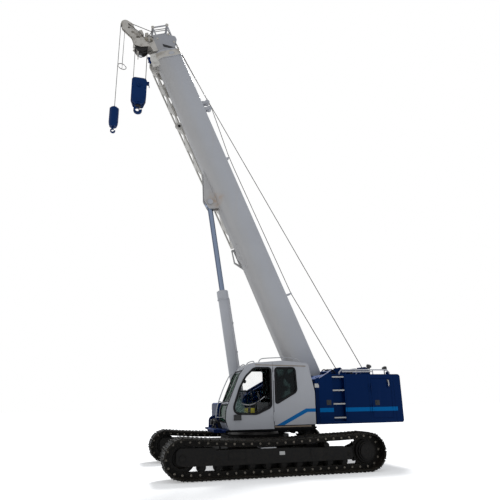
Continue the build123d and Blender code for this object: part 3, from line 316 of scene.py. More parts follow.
# Paints that start from one of the colours: what they change, a mask for a second colour, and that colour
derivedPaints = {
    "navyStriped": ("navy", {}, housingStripe),
    "cabStriped": ("greyWhite", {}, cabStripe),
    "boom": ("greyWhite", {"grime": paintValues["warmGrey"]["grime"], "grimeMost": 0.5, "grimeAhead": True,
                           "boomShadeAndRust": True}, warmHead, paintValues["warmGrey"]["color"]),
    # painted shade on the inside faces of the cab's right and rear panels
    "cabInsideShaded": ("greyWhite", {}, paintedInsideShade, (0.020, 0.021, 0.024)),
    "deck": ("navy", {"tint": (1.0, 1.0, 1.0), "shine": 0.05}, blackDeck, (0.005, 0.005, 0.0055)),
    "jib": ("warmGrey", {"color": (0.60, 0.585, 0.55), "grimeMost": 0.30, "streak": 0.25}),
    "cabRoof": ("greyWhite", {"color": (0.52, 0.50, 0.47), "dustTop": 0.15}),
    "roofNavy": ("navy", {"dustTop": 0.12}),
    "tan": ("greyWhite", {"color": (0.27, 0.21, 0.155)}),
    "yellowPlate": ("greyWhite", {"color": (0.50, 0.45, 0.03)}),
    "seam": ("navy", {"color": (0.0003, 0.0022, 0.013), "dustTop": 0.0, "edge": 0.0}),
    # painted shade: a darker navy for the strip in the housing's front recess
    "recess": ("navy", {"color": (0.0008, 0.0035, 0.028), "dustTop": 0.1, "edge": 0.1}),
    # a pale lavender paint for the rod of painted highlight along the left housing's shoulder
    "edge": ("greyWhite", {"color": (0.33, 0.35, 0.50), "dustTop": 0.1}),
    "rung": ("greyWhite", {"color": (0.50, 0.50, 0.49), "edge": 0.6}),
}

metalValues = {
    "bareSteel": {"color": (0.16, 0.155, 0.15), "second": (0.11, 0.105, 0.10), "stain": 0.5,
                  "stainColor": (0.09, 0.05, 0.03), "rough": 0.35, "spread": 0.2, "bump": 0.15, "metallic": 0.85},
    "greasedRope": {"color": (0.060, 0.057, 0.052), "second": (0.085, 0.08, 0.072), "stain": 0.4,
                    "stainColor": (0.03, 0.027, 0.023), "rough": 0.42, "spread": 0.2, "bump": 0.5, "metallic": 0.5,
                    "stretch": (9.0, 9.0, 30.0)},
    "blackIron": {"color": (0.014, 0.014, 0.015), "second": (0.022, 0.021, 0.02), "stain": 0.35,
                  "stainColor": (0.07, 0.05, 0.035), "rough": 0.45, "spread": 0.15, "bump": 0.2, "metallic": 0.35},
    "aluminium": {"color": (0.50, 0.50, 0.51), "second": (0.42, 0.42, 0.43), "stain": 0.3,
                  "stainColor": (0.25, 0.23, 0.2), "rough": 0.35, "spread": 0.2, "bump": 0.2, "metallic": 0.6},
    "dustySteel": {"color": (0.27, 0.24, 0.195), "second": (0.10, 0.088, 0.072), "stain": 0.5,
                   "stainColor": (0.40, 0.35, 0.28), "rough": 0.6, "spread": 0.2, "bump": 0.3, "metallic": 0.1},
    "engineIron": {"color": (0.05, 0.052, 0.055), "second": (0.035, 0.035, 0.037), "stain": 0.5,
                   "stainColor": (0.02, 0.018, 0.015), "rough": 0.5, "spread": 0.2, "bump": 0.4, "metallic": 0.2},
}


def makeMetal(name, v):
    material, where = startMaterial(name)
    brushed = noise(where, 30.0, 3.0, v.get("stretch", (1.0, 1.0, 12.0)))
    color = mixColor(ramp(noise(where, 2.2), 0.35, 0.7), v["color"], v["second"])
    color = mixColor(ramp(noise(where, 60.0, 6.0), 0.55, 0.8, 0.0, v["stain"]), color, v["stainColor"])
    return endPrincipled(material, {
        "Base Color": color, "Metallic": v["metallic"], "Normal": bump(brushed, v["bump"], 0.001),
        "Roughness": ramp(brushed, 0.3, 0.7, v["rough"], v["rough"] + v["spread"])})


# The rod's chrome, with painted reflection: dark and bright streaks along it
chromeValues = {"color": (0.045, 0.055, 0.085), "second": (0.30, 0.36, 0.48), "rough": (0.14, 0.20), "pitch": 13.0,
                "along": 0.004}


def makeChromeRod(v):
    material, where = startMaterial("chromeRod")
    x, y, z = split(where)
    across = (x - ramFoot.x) * ramUp.z - (z - ramFoot.z) * ramUp.x
    spot = Value(addNode(where.tree, "ShaderNodeCombineXYZ", {0: across, 1: y, 2: z * v["along"]}))
    # painted reflection: streaks across the rod in a dark and a bright colour
    color = mixColor(ramp(noise(spot, v["pitch"], 1.5), 0.34, 0.64), v["color"], v["second"])
    fine = noise(where, 60.0)
    return endPrincipled(material, {"Base Color": color, "Metallic": 1.0, "Normal": bump(fine, 0.03, 0.001),
                                    "Roughness": ramp(fine, 0.3, 0.7, *v["rough"])})


# The belts: black steel with packed dust, and edges that the ground has polished
trackValues = {"color": (0.0050, 0.0048, 0.0046), "second": (0.0115, 0.0102, 0.0088), "dust": (0.150, 0.122, 0.088),
               "dustTop": (0.02, 0.13), "packed": 0.16, "polish": (0.25, 0.215, 0.165), "edge": 0.005, "shine": 0.12}


def makeTrackSteel(v):
    material, where = startMaterial("trackSteel")
    patches, fine = noise(where, 3.0, 5.0), noise(where, 45.0, 6.0)
    color = mixColor(ramp(patches, 0.35, 0.65), v["color"], v["second"])
    packed = ramp(fine, 0.52, 0.72, 0.0, v["packed"]) * ramp(split(where)[2], 0.95, 0.15, 0.5, 1.0)
    dust = upFacing(where) * ramp(patches, 0.3, 0.65, *v["dustTop"]) + packed
    polished = edgeWear(v["edge"], ramp(fine, 0.35, 0.6, 0.1, 0.65))
    color = mixColor(polished, mixColor(dust, color, v["dust"]), v["polish"])
    return endPrincipled(material, {
        "Base Color": color, "Metallic": polished * 0.6, "Normal": bump(fine + patches, 0.35, 0.004),
        "Roughness": ramp(dust, 0.0, 0.6, 0.48, 0.85) - polished * 0.2, "Specular IOR Level": v["shine"]})


mouldedValues = {
    "blackRubber": {"color": (0.010, 0.010, 0.011), "second": (0.014, 0.014, 0.015), "rough": 0.6, "grain": 220.0,
                    "bump": 0.2, "dust": 0.08, "shine": 0.15},
    "seatCloth": {"color": (0.016, 0.017, 0.02), "second": (0.024, 0.025, 0.028), "rough": 0.75, "grain": 420.0,
                  "bump": 0.6, "dust": 0.05, "sheen": 0.08, "shine": 0.2},
    "darkPlastic": {"color": (0.022, 0.023, 0.025), "second": (0.03, 0.031, 0.033), "rough": 0.45, "grain": 300.0,
                    "bump": 0.25, "dust": 0.1},
    "lampBlack": {"color": (0.011, 0.011, 0.012), "second": (0.014, 0.014, 0.015), "rough": 0.28, "grain": 260.0,
                  "bump": 0.05, "dust": 0.1},
    "screen": {"color": (0.012, 0.02, 0.022), "second": (0.016, 0.026, 0.028), "rough": 0.12, "grain": 90.0,
               "bump": 0.02, "dust": 0.05},
}


def makeMoulded(name, v):
    material, where = startMaterial(name)
    grain = noise(where, v["grain"], 3.0)
    color = mixColor(ramp(noise(where, 3.0), 0.3, 0.7), v["color"], v["second"])
    dust = upFacing(where) * ramp(grain, 0.3, 0.7, 0.05, v["dust"])
    return endPrincipled(material, {
        "Base Color": mixColor(dust, color, (0.20, 0.185, 0.16)), "Normal": bump(grain, v["bump"], 0.001),
        "Roughness": ramp(grain, 0.3, 0.7, v["rough"], v["rough"] + 0.15), "Sheen Weight": v.get("sheen", 0.0),
        "Specular IOR Level": v.get("shine", 0.5)})


# The cab's glass, with painted reflection and shade: green at the front, dark at the side behind the door, paler in
# the door's front corner
glassValues = {"color": (0.006, 0.022, 0.020), "film": (0.03, 0.042, 0.040), "filmAlpha": (0.02, 0.05),
               "dark": (0.002, 0.004, 0.005), "darkSecond": (0.022, 0.040, 0.038), "green": (0.032, 0.082, 0.046),
               "corner": (0.12, 0.19, 0.17), "frontAlpha": 0.60, "sideAlpha": 0.86, "cornerAlpha": 0.50,
               "frontX": 0.62, "rearX": -0.2, "leftY": 1.22, "cornerLean": -0.55, "cornerStart": (-0.32, -0.12)}


def makeGlass(v):
    material, where = startMaterial("clearGlass")
    x, y, z = split(where)
    film = noise(where, 5.0, 5.0)
    left, behind = y > v["leftY"], x < v["rearX"]
    front = (x > v["frontX"]) * (y < v["leftY"])
    corner = ramp(z * v["cornerLean"] + x, *v["cornerStart"]) * left
    color = mixColor(ramp(film, 0.4, 0.75), v["color"], v["film"])
    # behind the door: painted shade of the cab's inside, with lighter patches of painted reflection
    color = mixColor(behind, color, mixColor(ramp(noise(where, 4.5, 1.0), 0.48, 0.62), v["dark"], v["darkSecond"]))
    # front panes: painted green reflection over the tint; door's front corner: painted light of the backdrop seen
    # through
    color = mixColor(corner, mixColor(front, color, v["green"]), v["corner"])
    alpha = ramp(film, 0.35, 0.8, *v["filmAlpha"])
    for area, share in ((front, v["frontAlpha"]), (behind * left, v["sideAlpha"]), (corner, v["cornerAlpha"])):
        alpha = calc("MAXIMUM", alpha, area * share)
    return endPrincipled(material, {"Base Color": color, "Roughness": ramp(film, 0.4, 0.8, 0.02, 0.08),
                                    "Alpha": alpha, "IOR": 1.45, "Specular IOR Level": 0.25})


def makeLens():
    material, where = startMaterial("lampLens")
    ribs = Value(addNode(where.tree, "ShaderNodeTexWave", {"Vector": where, "Scale": 60.0, "Distortion": 0.3}), "Fac")
    return endPrincipled(material, {
        "Base Color": mixColor(ribs, (0.55, 0.57, 0.58), (0.70, 0.72, 0.73)), "Roughness": 0.12,
        "Normal": bump(ribs, 0.3, 0.002), "Coat Weight": 0.8})


looks = {name: makePaint(name + "Paint", values) for name, values in paintValues.items()}
for name, (start, changes, *mask) in derivedPaints.items():
    looks[name] = makePaint(name + "Paint", {**paintValues[start], **changes}, *mask)
for maker, kinds in ((makeMetal, metalValues), (makeMoulded, mouldedValues)):
    looks.update({name: maker(name, values) for name, values in kinds.items()})
looks.update(chromeRod=makeChromeRod(chromeValues), trackSteel=makeTrackSteel(trackValues),
             clearGlass=makeGlass(glassValues), lampLens=makeLens())
print("materials ready:", len(bpy.data.materials))

nodeFinish = {
    "cabInsideShaded": "cab_rear_panel cab_right_panel",
    "greyWhite": "cab_front_frame cab_door handrails boom_section_2 boom_section_3 luffing_barrel",
    "boom": "boom_base boom_tip",
    "warmGrey": "rooster",
    "jib": "lattice_jib",
    "cabRoof": "cab_roof",
    "cabStriped": "cab_left_panel",
    "navy": "main_winch auxiliary_winch fuel_tank",
    "deck": "turntable",
    "navyStriped": "counterweight left_housing right_housing left_housing_door right_housing_door",
    "hookBlue": "main_hook_block ball_hook",
    "black": "carbody lashing_lugs cab_floor left_idler right_idler left_sprocket right_sprocket left_rollers "
                    "right_rollers left_crawler_frame right_crawler_frame",
    "trackSteel": "left_track right_track",
    "chromeRod": "luffing_rod",
    "bareSteel": "slewing_ring",
    "greasedRope": "main_falls ball_fall hoist_ropes",
    "lampBlack": "work_lamps",
    "blackIron": "head_sheaves rooster_sheave block_sheaves",
    "engineIron": "engine",
    "seatCloth": "seat",
    "darkPlastic": "consoles",
    "clearGlass": "cab_glass cab_door_glass",
}
unpainted = set(nodes)
for look, names in nodeFinish.items():
    for name in names.split():
        if name in nodes:
            unpainted.discard(name)
            nodes[name].data.materials.clear()
            nodes[name].data.materials.append(looks[look])
print("nodes without a finish:", sorted(unpainted))


# Mesh helpers

def turnTo(direction):
    return Vector((0, 0, 1)).rotation_difference(Vector(direction)).to_matrix().to_4x4()


def addBox(bm, low, high, turn=Matrix.Identity(4)):
    low, high = (Vector([pick(pair) for pair in zip(low, high)]) for pick in (min, max))
    place = Matrix.Translation((low + high) / 2) @ Matrix.Diagonal((*(high - low), 1))
    bmesh.ops.create_cube(bm, size=1, matrix=turn @ place)


def addRod(bm, start, end, radius, sides=16, endRadius=None):
    start, end = Vector(start), Vector(end)
    place = Matrix.Translation((start + end) / 2) @ turnTo(end - start)
    bmesh.ops.create_cone(bm, cap_ends=True, segments=sides, radius1=radius, depth=(end - start).length,
                          radius2=radius if endRadius is None else endRadius, matrix=place)


def addBolt(bm, place, direction, size):
    direction, place = Vector(direction).normalized(), Vector(place)
    addRod(bm, place, place + direction * size * 0.25, size * 1.1, 12)
    addRod(bm, place, place + direction * size * 0.9, size * 0.8, 6)


def addBoltRing(bm, centre, direction, radius, count, size):
    centre, direction = Vector(centre), Vector(direction)
    across, beside = Vector((1, 0, 0)), Vector((0, 0, 1))
    if not direction.y:
        across, beside = Vector((direction.z, 0, -direction.x)), Vector((0, 1, 0))
    for k in range(count):
        a = 2 * pi * k / count
        addBolt(bm, centre + (across * cos(a) + beside * sin(a)) * radius, direction, size)


# Grow a flat outline into a plate
def addPlate(bm, corners, step):
    face = bm.faces.new([bm.verts.new(corner) for corner in corners])
    bmesh.ops.translate(bm, verts=growFaces(bm, [face]), vec=step)


def growFaces(bm, faces):
    grown = bmesh.ops.extrude_face_region(bm, geom=faces)
    return [item for item in grown["geom"] if isinstance(item, bmesh.types.BMVert)]


def roundCorners(bm, verts, radius):
    bmesh.ops.bevel(bm, geom=verts, offset=radius, offset_type="OFFSET", segments=5, profile=0.5, affect="VERTICES",
                    material=-1)


# Spin an outline of (radius, height) round an axis
def lathe(bm, rows, centre, axis, steps=40):
    known = set(bm.verts)
    verts = [bm.verts.new((radius, 0, height)) for radius, height in rows]
    edges = [bm.edges.new(pair) for pair in zip(verts, verts[1:])]
    bmesh.ops.spin(bm, geom=verts + edges, cent=(0, 0, 0), axis=(0, 0, 1), dvec=(0, 0, 0), angle=2 * pi,
                   steps=steps, use_merge=True)
    made = [v for v in bm.verts if v not in known]
    bmesh.ops.transform(bm, matrix=Matrix.Translation(centre) @ turnTo(axis), verts=made)


def makePiece(name, bm, look, body, bevel=0.0, smooth=32):
    bmesh.ops.remove_doubles(bm, verts=bm.verts, dist=0.00001)
    bmesh.ops.recalc_face_normals(bm, faces=bm.faces)
    mesh = bpy.data.meshes.new(name)
    bm.to_mesh(mesh)
    bm.free()
    return finishPiece(name, mesh, look, body, bevel, smooth)


def finishPiece(name, mesh, look, body, bevel=0.0, smooth=32):
    mesh.materials.clear()
    mesh.materials.append(looks[look])
    mesh.polygons.foreach_set("use_smooth", [True] * len(mesh.polygons))
    mesh.set_sharp_from_angle(angle=radians(smooth))
    made = addObject(name, mesh)
    if bevel:
        edge = made.modifiers.new("edge", "BEVEL")
        edge.width = bevel
        edge.segments = 2
        edge.limit_method = "ANGLE"
    if body:
        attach(made, body)
    return made


# One piece from several shapes, each a helper above followed by what it is given
def build(name, look, body, *shapes, **finish):
    bm = bmesh.new()
    for shape, *given in shapes:
        shape(bm, *given)
    return makePiece(name, bm, look, body, **finish)


def boxes(*corners):
    return [(addBox, low, high) for low, high in corners]


def makeTube(name, lines, radius, look, body, sides=3, order=3):
    data = bpy.data.curves.new(name, "CURVE")
    data.dimensions = "3D"
    data.bevel_depth = radius
    data.bevel_resolution = sides
    data.resolution_u = 8
    data.use_fill_caps = True
    for points in lines:
        line = data.splines.new("NURBS")
        line.points.add(len(points) - 1)
        for point, place in zip(line.points, points):
            point.co = (*place, 1)
        line.order_u = min(order, len(points))
        line.use_endpoint_u = True
    holder = addObject(name, data)
    bpy.context.view_layer.update()
    mesh = bpy.data.meshes.new_from_object(holder.evaluated_get(bpy.context.evaluated_depsgraph_get()))
    bpy.data.objects.remove(holder)
    bpy.data.curves.remove(data)
    mesh.name = name
    return finishPiece(name, mesh, look, body)


# Window seals: black rubber frames over the joint between sheet and pane
windowValues = {
    "doorWindowSeal": ("cab_door", 1.302, ((0.858, 1.440), (0.795, 1.318), (0.278, 1.300), (-0.095, 1.460),
                                           (-0.095, 2.385), (0.330, 2.385), (0.560, 2.170), (0.700, 1.910))),
    "rearSideWindowSeal": ("upper", 1.302, ((-0.215, 1.522), (-0.765, 1.815), (-0.735, 2.385), (-0.215, 2.385))),
    "rightWindowSeal": ("upper", 0.470, ((0.700, 1.420), (-0.150, 1.420), (-0.150, 2.370), (0.330, 2.370),
                                         (0.560, 2.150))),
}
sealValues = {"round": 0.07, "bead": 0.025}

for name, (body, yFace, corners) in windowValues.items():
    sheet = bmesh.new()
    verts = [sheet.verts.new((x, yFace, z)) for x, z in corners]
    sheet.faces.new(verts)
    roundCorners(sheet, verts, sealValues["round"])
    path = [vert.co.copy() for vert in max(sheet.faces, key=lambda face: face.calc_area()).verts]
    sheet.free()
    makeTube(name, [path + path[:1]], sealValues["bead"], "blackRubber", body, order=2)
print("window seals ready")


# How far out the cab's skin reaches along an axis, at a place given by the two other coordinates
def skinReader(names, axis, fallback, start=3.0):
    depsgraph = bpy.context.evaluated_depsgraph_get()
    trees = [BVHTree.FromObject(nodes[name], depsgraph) for name in names]
    inward = -Matrix.Identity(3)[axis]

    def reach(*place):
        place = [*place]
        place.insert(axis, start)
        found = [tree.ray_cast(Vector(place), inward)[0] for tree in trees]
        return max((hit[axis] for hit in found if hit), default=fallback)
    return reach


skinX = skinReader(("cab_front_frame", "cab_roof", "cab_floor"), 0, 0.6)
skinY = skinReader(("cab_left_panel", "cab_roof", "cab_door"), 1, 1.28)


def spread(start, end, steps):
    return [start + (end - start) * k / steps for k in range(steps + 1)]


# Front panes: rubber round both, a seam beside them, a wiper on the upper one
frontPaneValues = {"sides": (0.515, 1.205), "spans": ((1.60, 2.33), (1.12, 1.53)), "radius": 0.013, "steps": 12,
                   "sample": 0.49, "sink": -0.004, "seam": (1.246, 1.02, 2.38), "seamSteps": 17,
                   "seamRadius": 0.010}


def onPane(y, z, lift):
    return skinX(frontPaneValues["sample"], z) + lift, y, z


def makePaneSeals(v):
    lines = []
    for low, high in v["spans"]:
        lines += [[onPane(y, z, v["sink"]) for z in spread(low, high, v["steps"])] for y in v["sides"]]
        lines += [[onPane(y, z, v["sink"]) for y in v["sides"]] for z in (low, high)]
    makeTube("frontPaneSeals", lines, v["radius"], "blackRubber", "upper")
    y, low, high = v["seam"]
    seam = [onPane(y, z, 0.001) for z in spread(low, high, v["seamSteps"])]
    makeTube("frontSeam", [seam], v["seamRadius"], "blackRubber", "upper")


makePaneSeals(frontPaneValues)

wiperValues = {"pivot": (0.60, 1.575), "knee": (0.63, 1.72), "armTop": (0.70, 2.02), "low": (0.80, 1.66),
               "high": (0.86, 2.26), "arm": 0.008, "rubber": 0.009, "lift": 0.028, "pivotLift": 0.012}


def makeWiper(v):
    lift, low, high = v["lift"], Vector(v["low"]), Vector(v["high"])
    top = onPane(*v["armTop"], lift)
    arm = [onPane(*v["pivot"], v["pivotLift"]), onPane(*v["knee"], lift), top]
    blade = [onPane(*low.lerp(high, k / 8), lift * 0.4) for k in range(9)]
    link = [top, onPane(*low.lerp(high, 0.5), lift * 0.7)]
    makeTube("wiperArm", [arm, link], v["arm"], "lampBlack", "upper")
    makeTube("wiperBlade", [blade], v["rubber"], "blackRubber", "upper")
    start, end = onPane(*v["pivot"], -0.02), onPane(*v["pivot"], 0.025)
    build("wiperPivot", "lampBlack", "upper", (addRod, start, end, 0.022, 20, 0.016), bevel=0.002)


makeWiper(wiperValues)

# Rain gutter over door and side, a dark gap behind the door, the right mirror, a hand loop inside
seamValues = {"gutter": ((0.30, 2.462), (-1.03, 2.430)), "gap": (-0.155, 1.04, 2.40), "steps": 24,
              "gutterRadius": 0.011, "gapRadius": 0.009, "mirror": (0.339, 0.40, 2.096),
              "mirrorRows": ((0, 0), (0.038, 0.003), (0.046, 0.016), (0.036, 0.034), (0, 0.042)),
              "loop": ((0.623, 1.548), (0.472, 1.499), (0.293, 1.531), (0.137, 1.611), (0.018, 1.705)),
              "loopY": 1.1, "loopRadius": 0.013}


def makeCabSeams(v):
    front, rear = (Vector(end) for end in v["gutter"])
    line = [front.lerp(rear, share) for share in spread(0, 1, v["steps"])]
    gutter = [(x, skinY(x, z) + 0.002, z) for x, z in line]
    makeTube("rainGutter", [gutter], v["gutterRadius"], "tan", "upper")
    x, low, high = v["gap"]
    gap = [(x, skinY(x - 0.02, z) - 0.003, z) for z in spread(low, high, v["steps"])]
    makeTube("doorGapSeal", [gap], v["gapRadius"], "blackRubber", "upper")
    x, y, z = v["mirror"]
    build("rightMirror", "lampBlack", "upper", (lathe, v["mirrorRows"], (x, y, z), (0, -1, 0.2), 28),
          (addRod, (x, y - 0.01, z), (x + 0.10, y + 0.06, z + 0.03), 0.007, 10))
    loop = [(x, v["loopY"], z) for x, z in v["loop"]]
    makeTube("handLoop", [loop], v["loopRadius"], "aluminium", "upper")


makeCabSeams(seamValues)

# Cab trim: grab bar, roof rails, latch, bolts, inner window bars, two bare plates on their holder
cabTrimValues = {
    "grabBar": (((1.228, 0.99, 1.235), (1.222, 1.0, 1.33), (1.207, 1.0, 1.44), (1.163, 1.0, 1.606),
                 (1.051, 1.0, 1.90), (0.938, 1.0, 2.133), (0.869, 1.0, 2.241), (0.80, 0.98, 2.26)),
                ((1.228, 0.99, 1.235), (1.05, 0.99, 1.235)), ((1.163, 1.0, 1.606), (0.97, 1.0, 1.56))),
    "roofRails": (((0.10, 0.9, 2.525), (0.08, 0.9, 2.612), (0.0, 0.9, 2.655), (-0.35, 0.9, 2.672),
                   (-0.60, 0.9, 2.68), (-0.85, 0.9, 2.66), (-1.016, 0.9, 2.63), (-1.05, 0.9, 2.50)),
                  ((-0.601, 0.9, 2.68), (-0.601, 0.9, 2.555)),
                  ((0.42, 0.9, 2.49), (0.403, 0.9, 2.535), (0.26, 0.9, 2.585), (0.217, 0.9, 2.57),
                   (0.215, 0.9, 2.53)),
                  ((0.60, 0.9, 2.37), (0.61, 0.9, 2.43), (0.53, 0.9, 2.49), (0.47, 0.9, 2.50), (0.46, 0.9, 2.46))),
    "barRadius": 0.012,
    "latch": ((0.672, 1.292, 1.167), (0.853, 1.337, 1.294)), "latchPins": (0.25, 0.72),
    "doorBolts": ("cab_door", ((0.796, 1.101), (0.796, 1.036), (-0.063, 1.086), (-0.073, 1.022))),
    "cabBolts": ("upper", ((-1.12, 2.30), (-1.12, 1.10))),
    "windowBars": (((-0.14, 0.436, 1.842), (0.62, 0.458, 1.872)), ((-0.165, 0.44, 1.42), (-0.135, 0.46, 2.37)),
                   ((0.27, 0.44, 1.42), (0.29, 0.456, 1.85))),
    "plates": (((0.28, 1.098, 1.325), (0.38, 1.106, 1.435)), ((0.45, 1.098, 1.325), (0.55, 1.106, 1.435))),
    "holder": (((0.25, 1.05, 1.30), (0.62, 1.10, 1.455)), ((0.58, 1.06, 1.43), (0.67, 1.12, 1.52))),
    "holderPost": ((0.42, 1.075, 1.02), (0.42, 1.075, 1.31), 0.022),
}


def makeCabTrim(v):
    for name in ("grabBar", "roofRails"):
        makeTube(name, v[name], v["barRadius"], "greyWhite", "upper")
    (x0, *_), (x1, high, z1) = v["latch"]
    pins = [(x0 + (x1 - x0) * share, z1 - 0.035) for share in v["latchPins"]]
    build("doorLatch", "lampBlack", "cab_door", (addBox, *v["latch"]),
          *[(addRod, (x, high - 0.007, z), (x, high + 0.006, z), 0.020, 16) for x, z in pins], bevel=0.006)
    for name in ("doorBolts", "cabBolts"):
        body, places = v[name]
        build(name, "greyWhite", body, *[(addBolt, (x, 1.3, z), (0, 1, 0), 0.012) for x, z in places])
    build("rightWindowBars", "blackRubber", "upper", *boxes(*v["windowBars"]), bevel=0.003)
    build("yellowPlates", "yellowPlate", "upper", *boxes(*v["plates"]), bevel=0.002)
    build("plateHolder", "darkPlastic", "upper", *boxes(*v["holder"]), (addRod, *v["holderPost"]),
          bevel=0.006)


makeCabTrim(cabTrimValues)

# Cab interior: control levers, a screen on its stalk, armrests and headrest
interiorValues = {"levers": ((0.16, 0.545), (0.16, 1.165)), "screen": (0.60, 0.60, 1.62), "armrests": (0.615, 1.045),
                  "knob": ((0.0, 0.0), (0.022, 0.01), (0.028, 0.05), (0.022, 0.10), (0.0, 0.115)),
                  "headrest": ((-0.06, 0.74, 2.12), (0.05, 0.98, 2.32)), "headrestBack": -0.53, "headrestLean": -12}


def makeInterior(v):
    shapes = []
    for x, y in v["levers"]:
        shapes += [(addRod, (x, y, 1.545), (x + 0.03, y, 1.70), 0.012, 12),
                   (lathe, v["knob"], (x + 0.03, y, 1.69), (0.2, 0, 1), 16),
                   (addBox, (x - 0.07, y - 0.05, 1.548), (x + 0.08, y + 0.05, 1.572))]
    build("controlLevers", "darkPlastic", "upper", *shapes, bevel=0.003)
    x, y, z = v["screen"]
    build("screenHousing", "darkPlastic", "upper", (addRod, (x, y + 0.06, 1.43), (x, y + 0.06, z), 0.016, 12),
          (addBox, (x - 0.03, y, z), (x + 0.02, y + 0.26, z + 0.19)), bevel=0.008)
    build("screenFace", "screen", "upper",
          (addBox, (x - 0.034, y + 0.02, z + 0.02), (x - 0.028, y + 0.24, z + 0.17)), bevel=0.001)
    lean = Matrix.Translation((v["headrestBack"], 0, 0)) @ Matrix.Rotation(radians(v["headrestLean"]), 4, "Y")
    shapes = [(addBox, *v["headrest"], lean)]
    for y in v["armrests"]:
        shapes += [(addBox, (-0.40, y, 1.66), (0.0, y + 0.06, 1.72)),
                   (addRod, (-0.38, y + 0.03, 1.50), (-0.38, y + 0.03, 1.69), 0.016, 12)]
    build("seatPads", "seatCloth", "upper", *shapes, bevel=0.018)


makeInterior(interiorValues)
print("cab ready")

# Left housing: white rungs, catches, a pull handle, panel seams, a bare bracket plate
housingValues = {
    "side": 1.3, "rungX": (-2.078, -1.742), "rungZ": (1.165, 1.498, 1.831, 2.164), "rungRadius": 0.019,
    "catches": ((-1.62, 1.535), (-2.98, 1.514)), "catchHalf": 0.063, "pull": (-3.342, 2.0),
    "seams": (-1.353, -2.115, -2.76, -3.5), "seamSpan": (1.04, 2.19),
    "plate": ((-1.372, 1.298, 1.900), (-1.255, 1.308, 2.000)),
    "recess": ((-1.362, 1.296, 1.05), (-1.272, 1.3035, 1.88)),
    "shoulder": ((-1.385, 1.306, 2.135), (-1.62, 1.306, 2.268), (-1.76, 1.24, 2.345)),
    "hinges": ((-1.36, 1.18), (-1.36, 2.02)), "boltX": (-1.30, -3.66), "boltZ": (1.07, 2.14),
}


def makeHousingTrim(v):
    side, h = v["side"], v["catchHalf"]
    front, rear = v["rungX"]
    build("ladderRungs", "rung", "upper",
          *[(addRod, (front, side - 0.025, z), (rear, side - 0.025, z), v["rungRadius"], 20) for z in v["rungZ"]],
          bevel=0.002)
    shapes = []
    for x, z in v["catches"]:
        shapes += [(addBox, (x - h, side - 0.004, z - h), (x + h, side + 0.007, z + h)),
                   (addBox, (x - h * 0.55, side + 0.004, z - h * 0.2), (x + h * 0.55, side + 0.018, z + h * 0.5)),
                   (addRod, (x, side, z - h * 0.55), (x, side + 0.012, z - h * 0.55), h * 0.22, 16)]
    build("panelCatches", "lampBlack", "upper", *shapes, bevel=0.004)
    x, z = v["pull"]
    build("pullPlate", "lampBlack", "left_housing_door",
          (addBox, (x - 0.035, side - 0.002, z - 0.095), (x + 0.035, side + 0.004, z + 0.095)), bevel=0.008)
    rows = ((0, -0.075), (0.03, -0.06), (0.034, 0), (0.03, 0.06), (0, 0.075))
    makeTube("pullHandle", [[(x, side + out, z + up) for out, up in rows]], 0.014, "rung", "left_housing_door")
    low, high = v["seamSpan"]
    build("panelSeams", "seam", "upper",
          *boxes(*[((x - 0.003, side - 0.003, low), (x + 0.003, side + 0.001, high)) for x in v["seams"]]))
    # painted shade: a thin dark strip laid over the housing's front recess
    build("frontRecessShade", "recess", "upper", (addBox, *v["recess"]), bevel=0.001)
    # painted highlight: a pale rod along the left housing's shoulder edge
    makeTube("shoulderHighlight", [v["shoulder"]], 0.011, "edge", "upper", order=2)
    build("barePlate", "rung", "upper", (addBox, *v["plate"]), bevel=0.006)
    shapes = [(addBolt, (x, side, z), (0, 1, 0), 0.014) for x in v["boltX"] for z in v["boltZ"]]
    for x, z in v["hinges"]:
        shapes += [(addRod, (x, side + 0.008, z - 0.05), (x, side + 0.008, z + 0.05), 0.010, 12),
                   (addBox, (x - 0.03, side - 0.002, z - 0.045), (x + 0.03, side + 0.005, z + 0.045))]
    build("panelHinges", "navy", "upper", *shapes, bevel=0.002)


makeHousingTrim(housingValues)

# Housing roofs: cowls, lifting eyes, exhaust, a rail, silencer, air inlet, and hoses between winches and housings
roofValues = {
    "cowls": ((-1.80, 0.74, 0.13, 0.11), (-1.80, -0.80, 0.15, 0.14), (-2.75, 0.72, 0.11, 0.09)),
    "cowlRows": ((0, 0), (0.75, 0), (0.75, 0.45), (1, 0.5), (1, 0.8), (0.8, 1), (0, 1)),
    "eyes": ((-1.75, 1.18), (-3.42, 1.18), (-1.2, -1.18), (-3.42, -1.18)),
    "top": 2.23, "exhaust": (-1.35, -0.95), "pipe": 0.062, "rail": ((-2.06, 1.25, 2.298), (-2.93, 1.25, 2.298)),
    "silencer": (-3.40, -0.82, 2.37), "silencerRadius": 0.12,
    "silencerRows": ((0, 0), (0.7, 0), (1, 0.05), (1, 0.30), (1.04, 0.31), (1.04, 0.34), (1, 0.35), (1, 0.63),
                     (0.7, 0.68), (0, 0.68)), "saddles": (-3.24, -2.88),
    "inlet": (((-2.62, -1.10, 2.228), (-2.10, -0.62, 2.30)), ((-2.56, -1.04, 2.29), (-2.16, -0.68, 2.33))),
    "hoseRadius": 0.017,
}


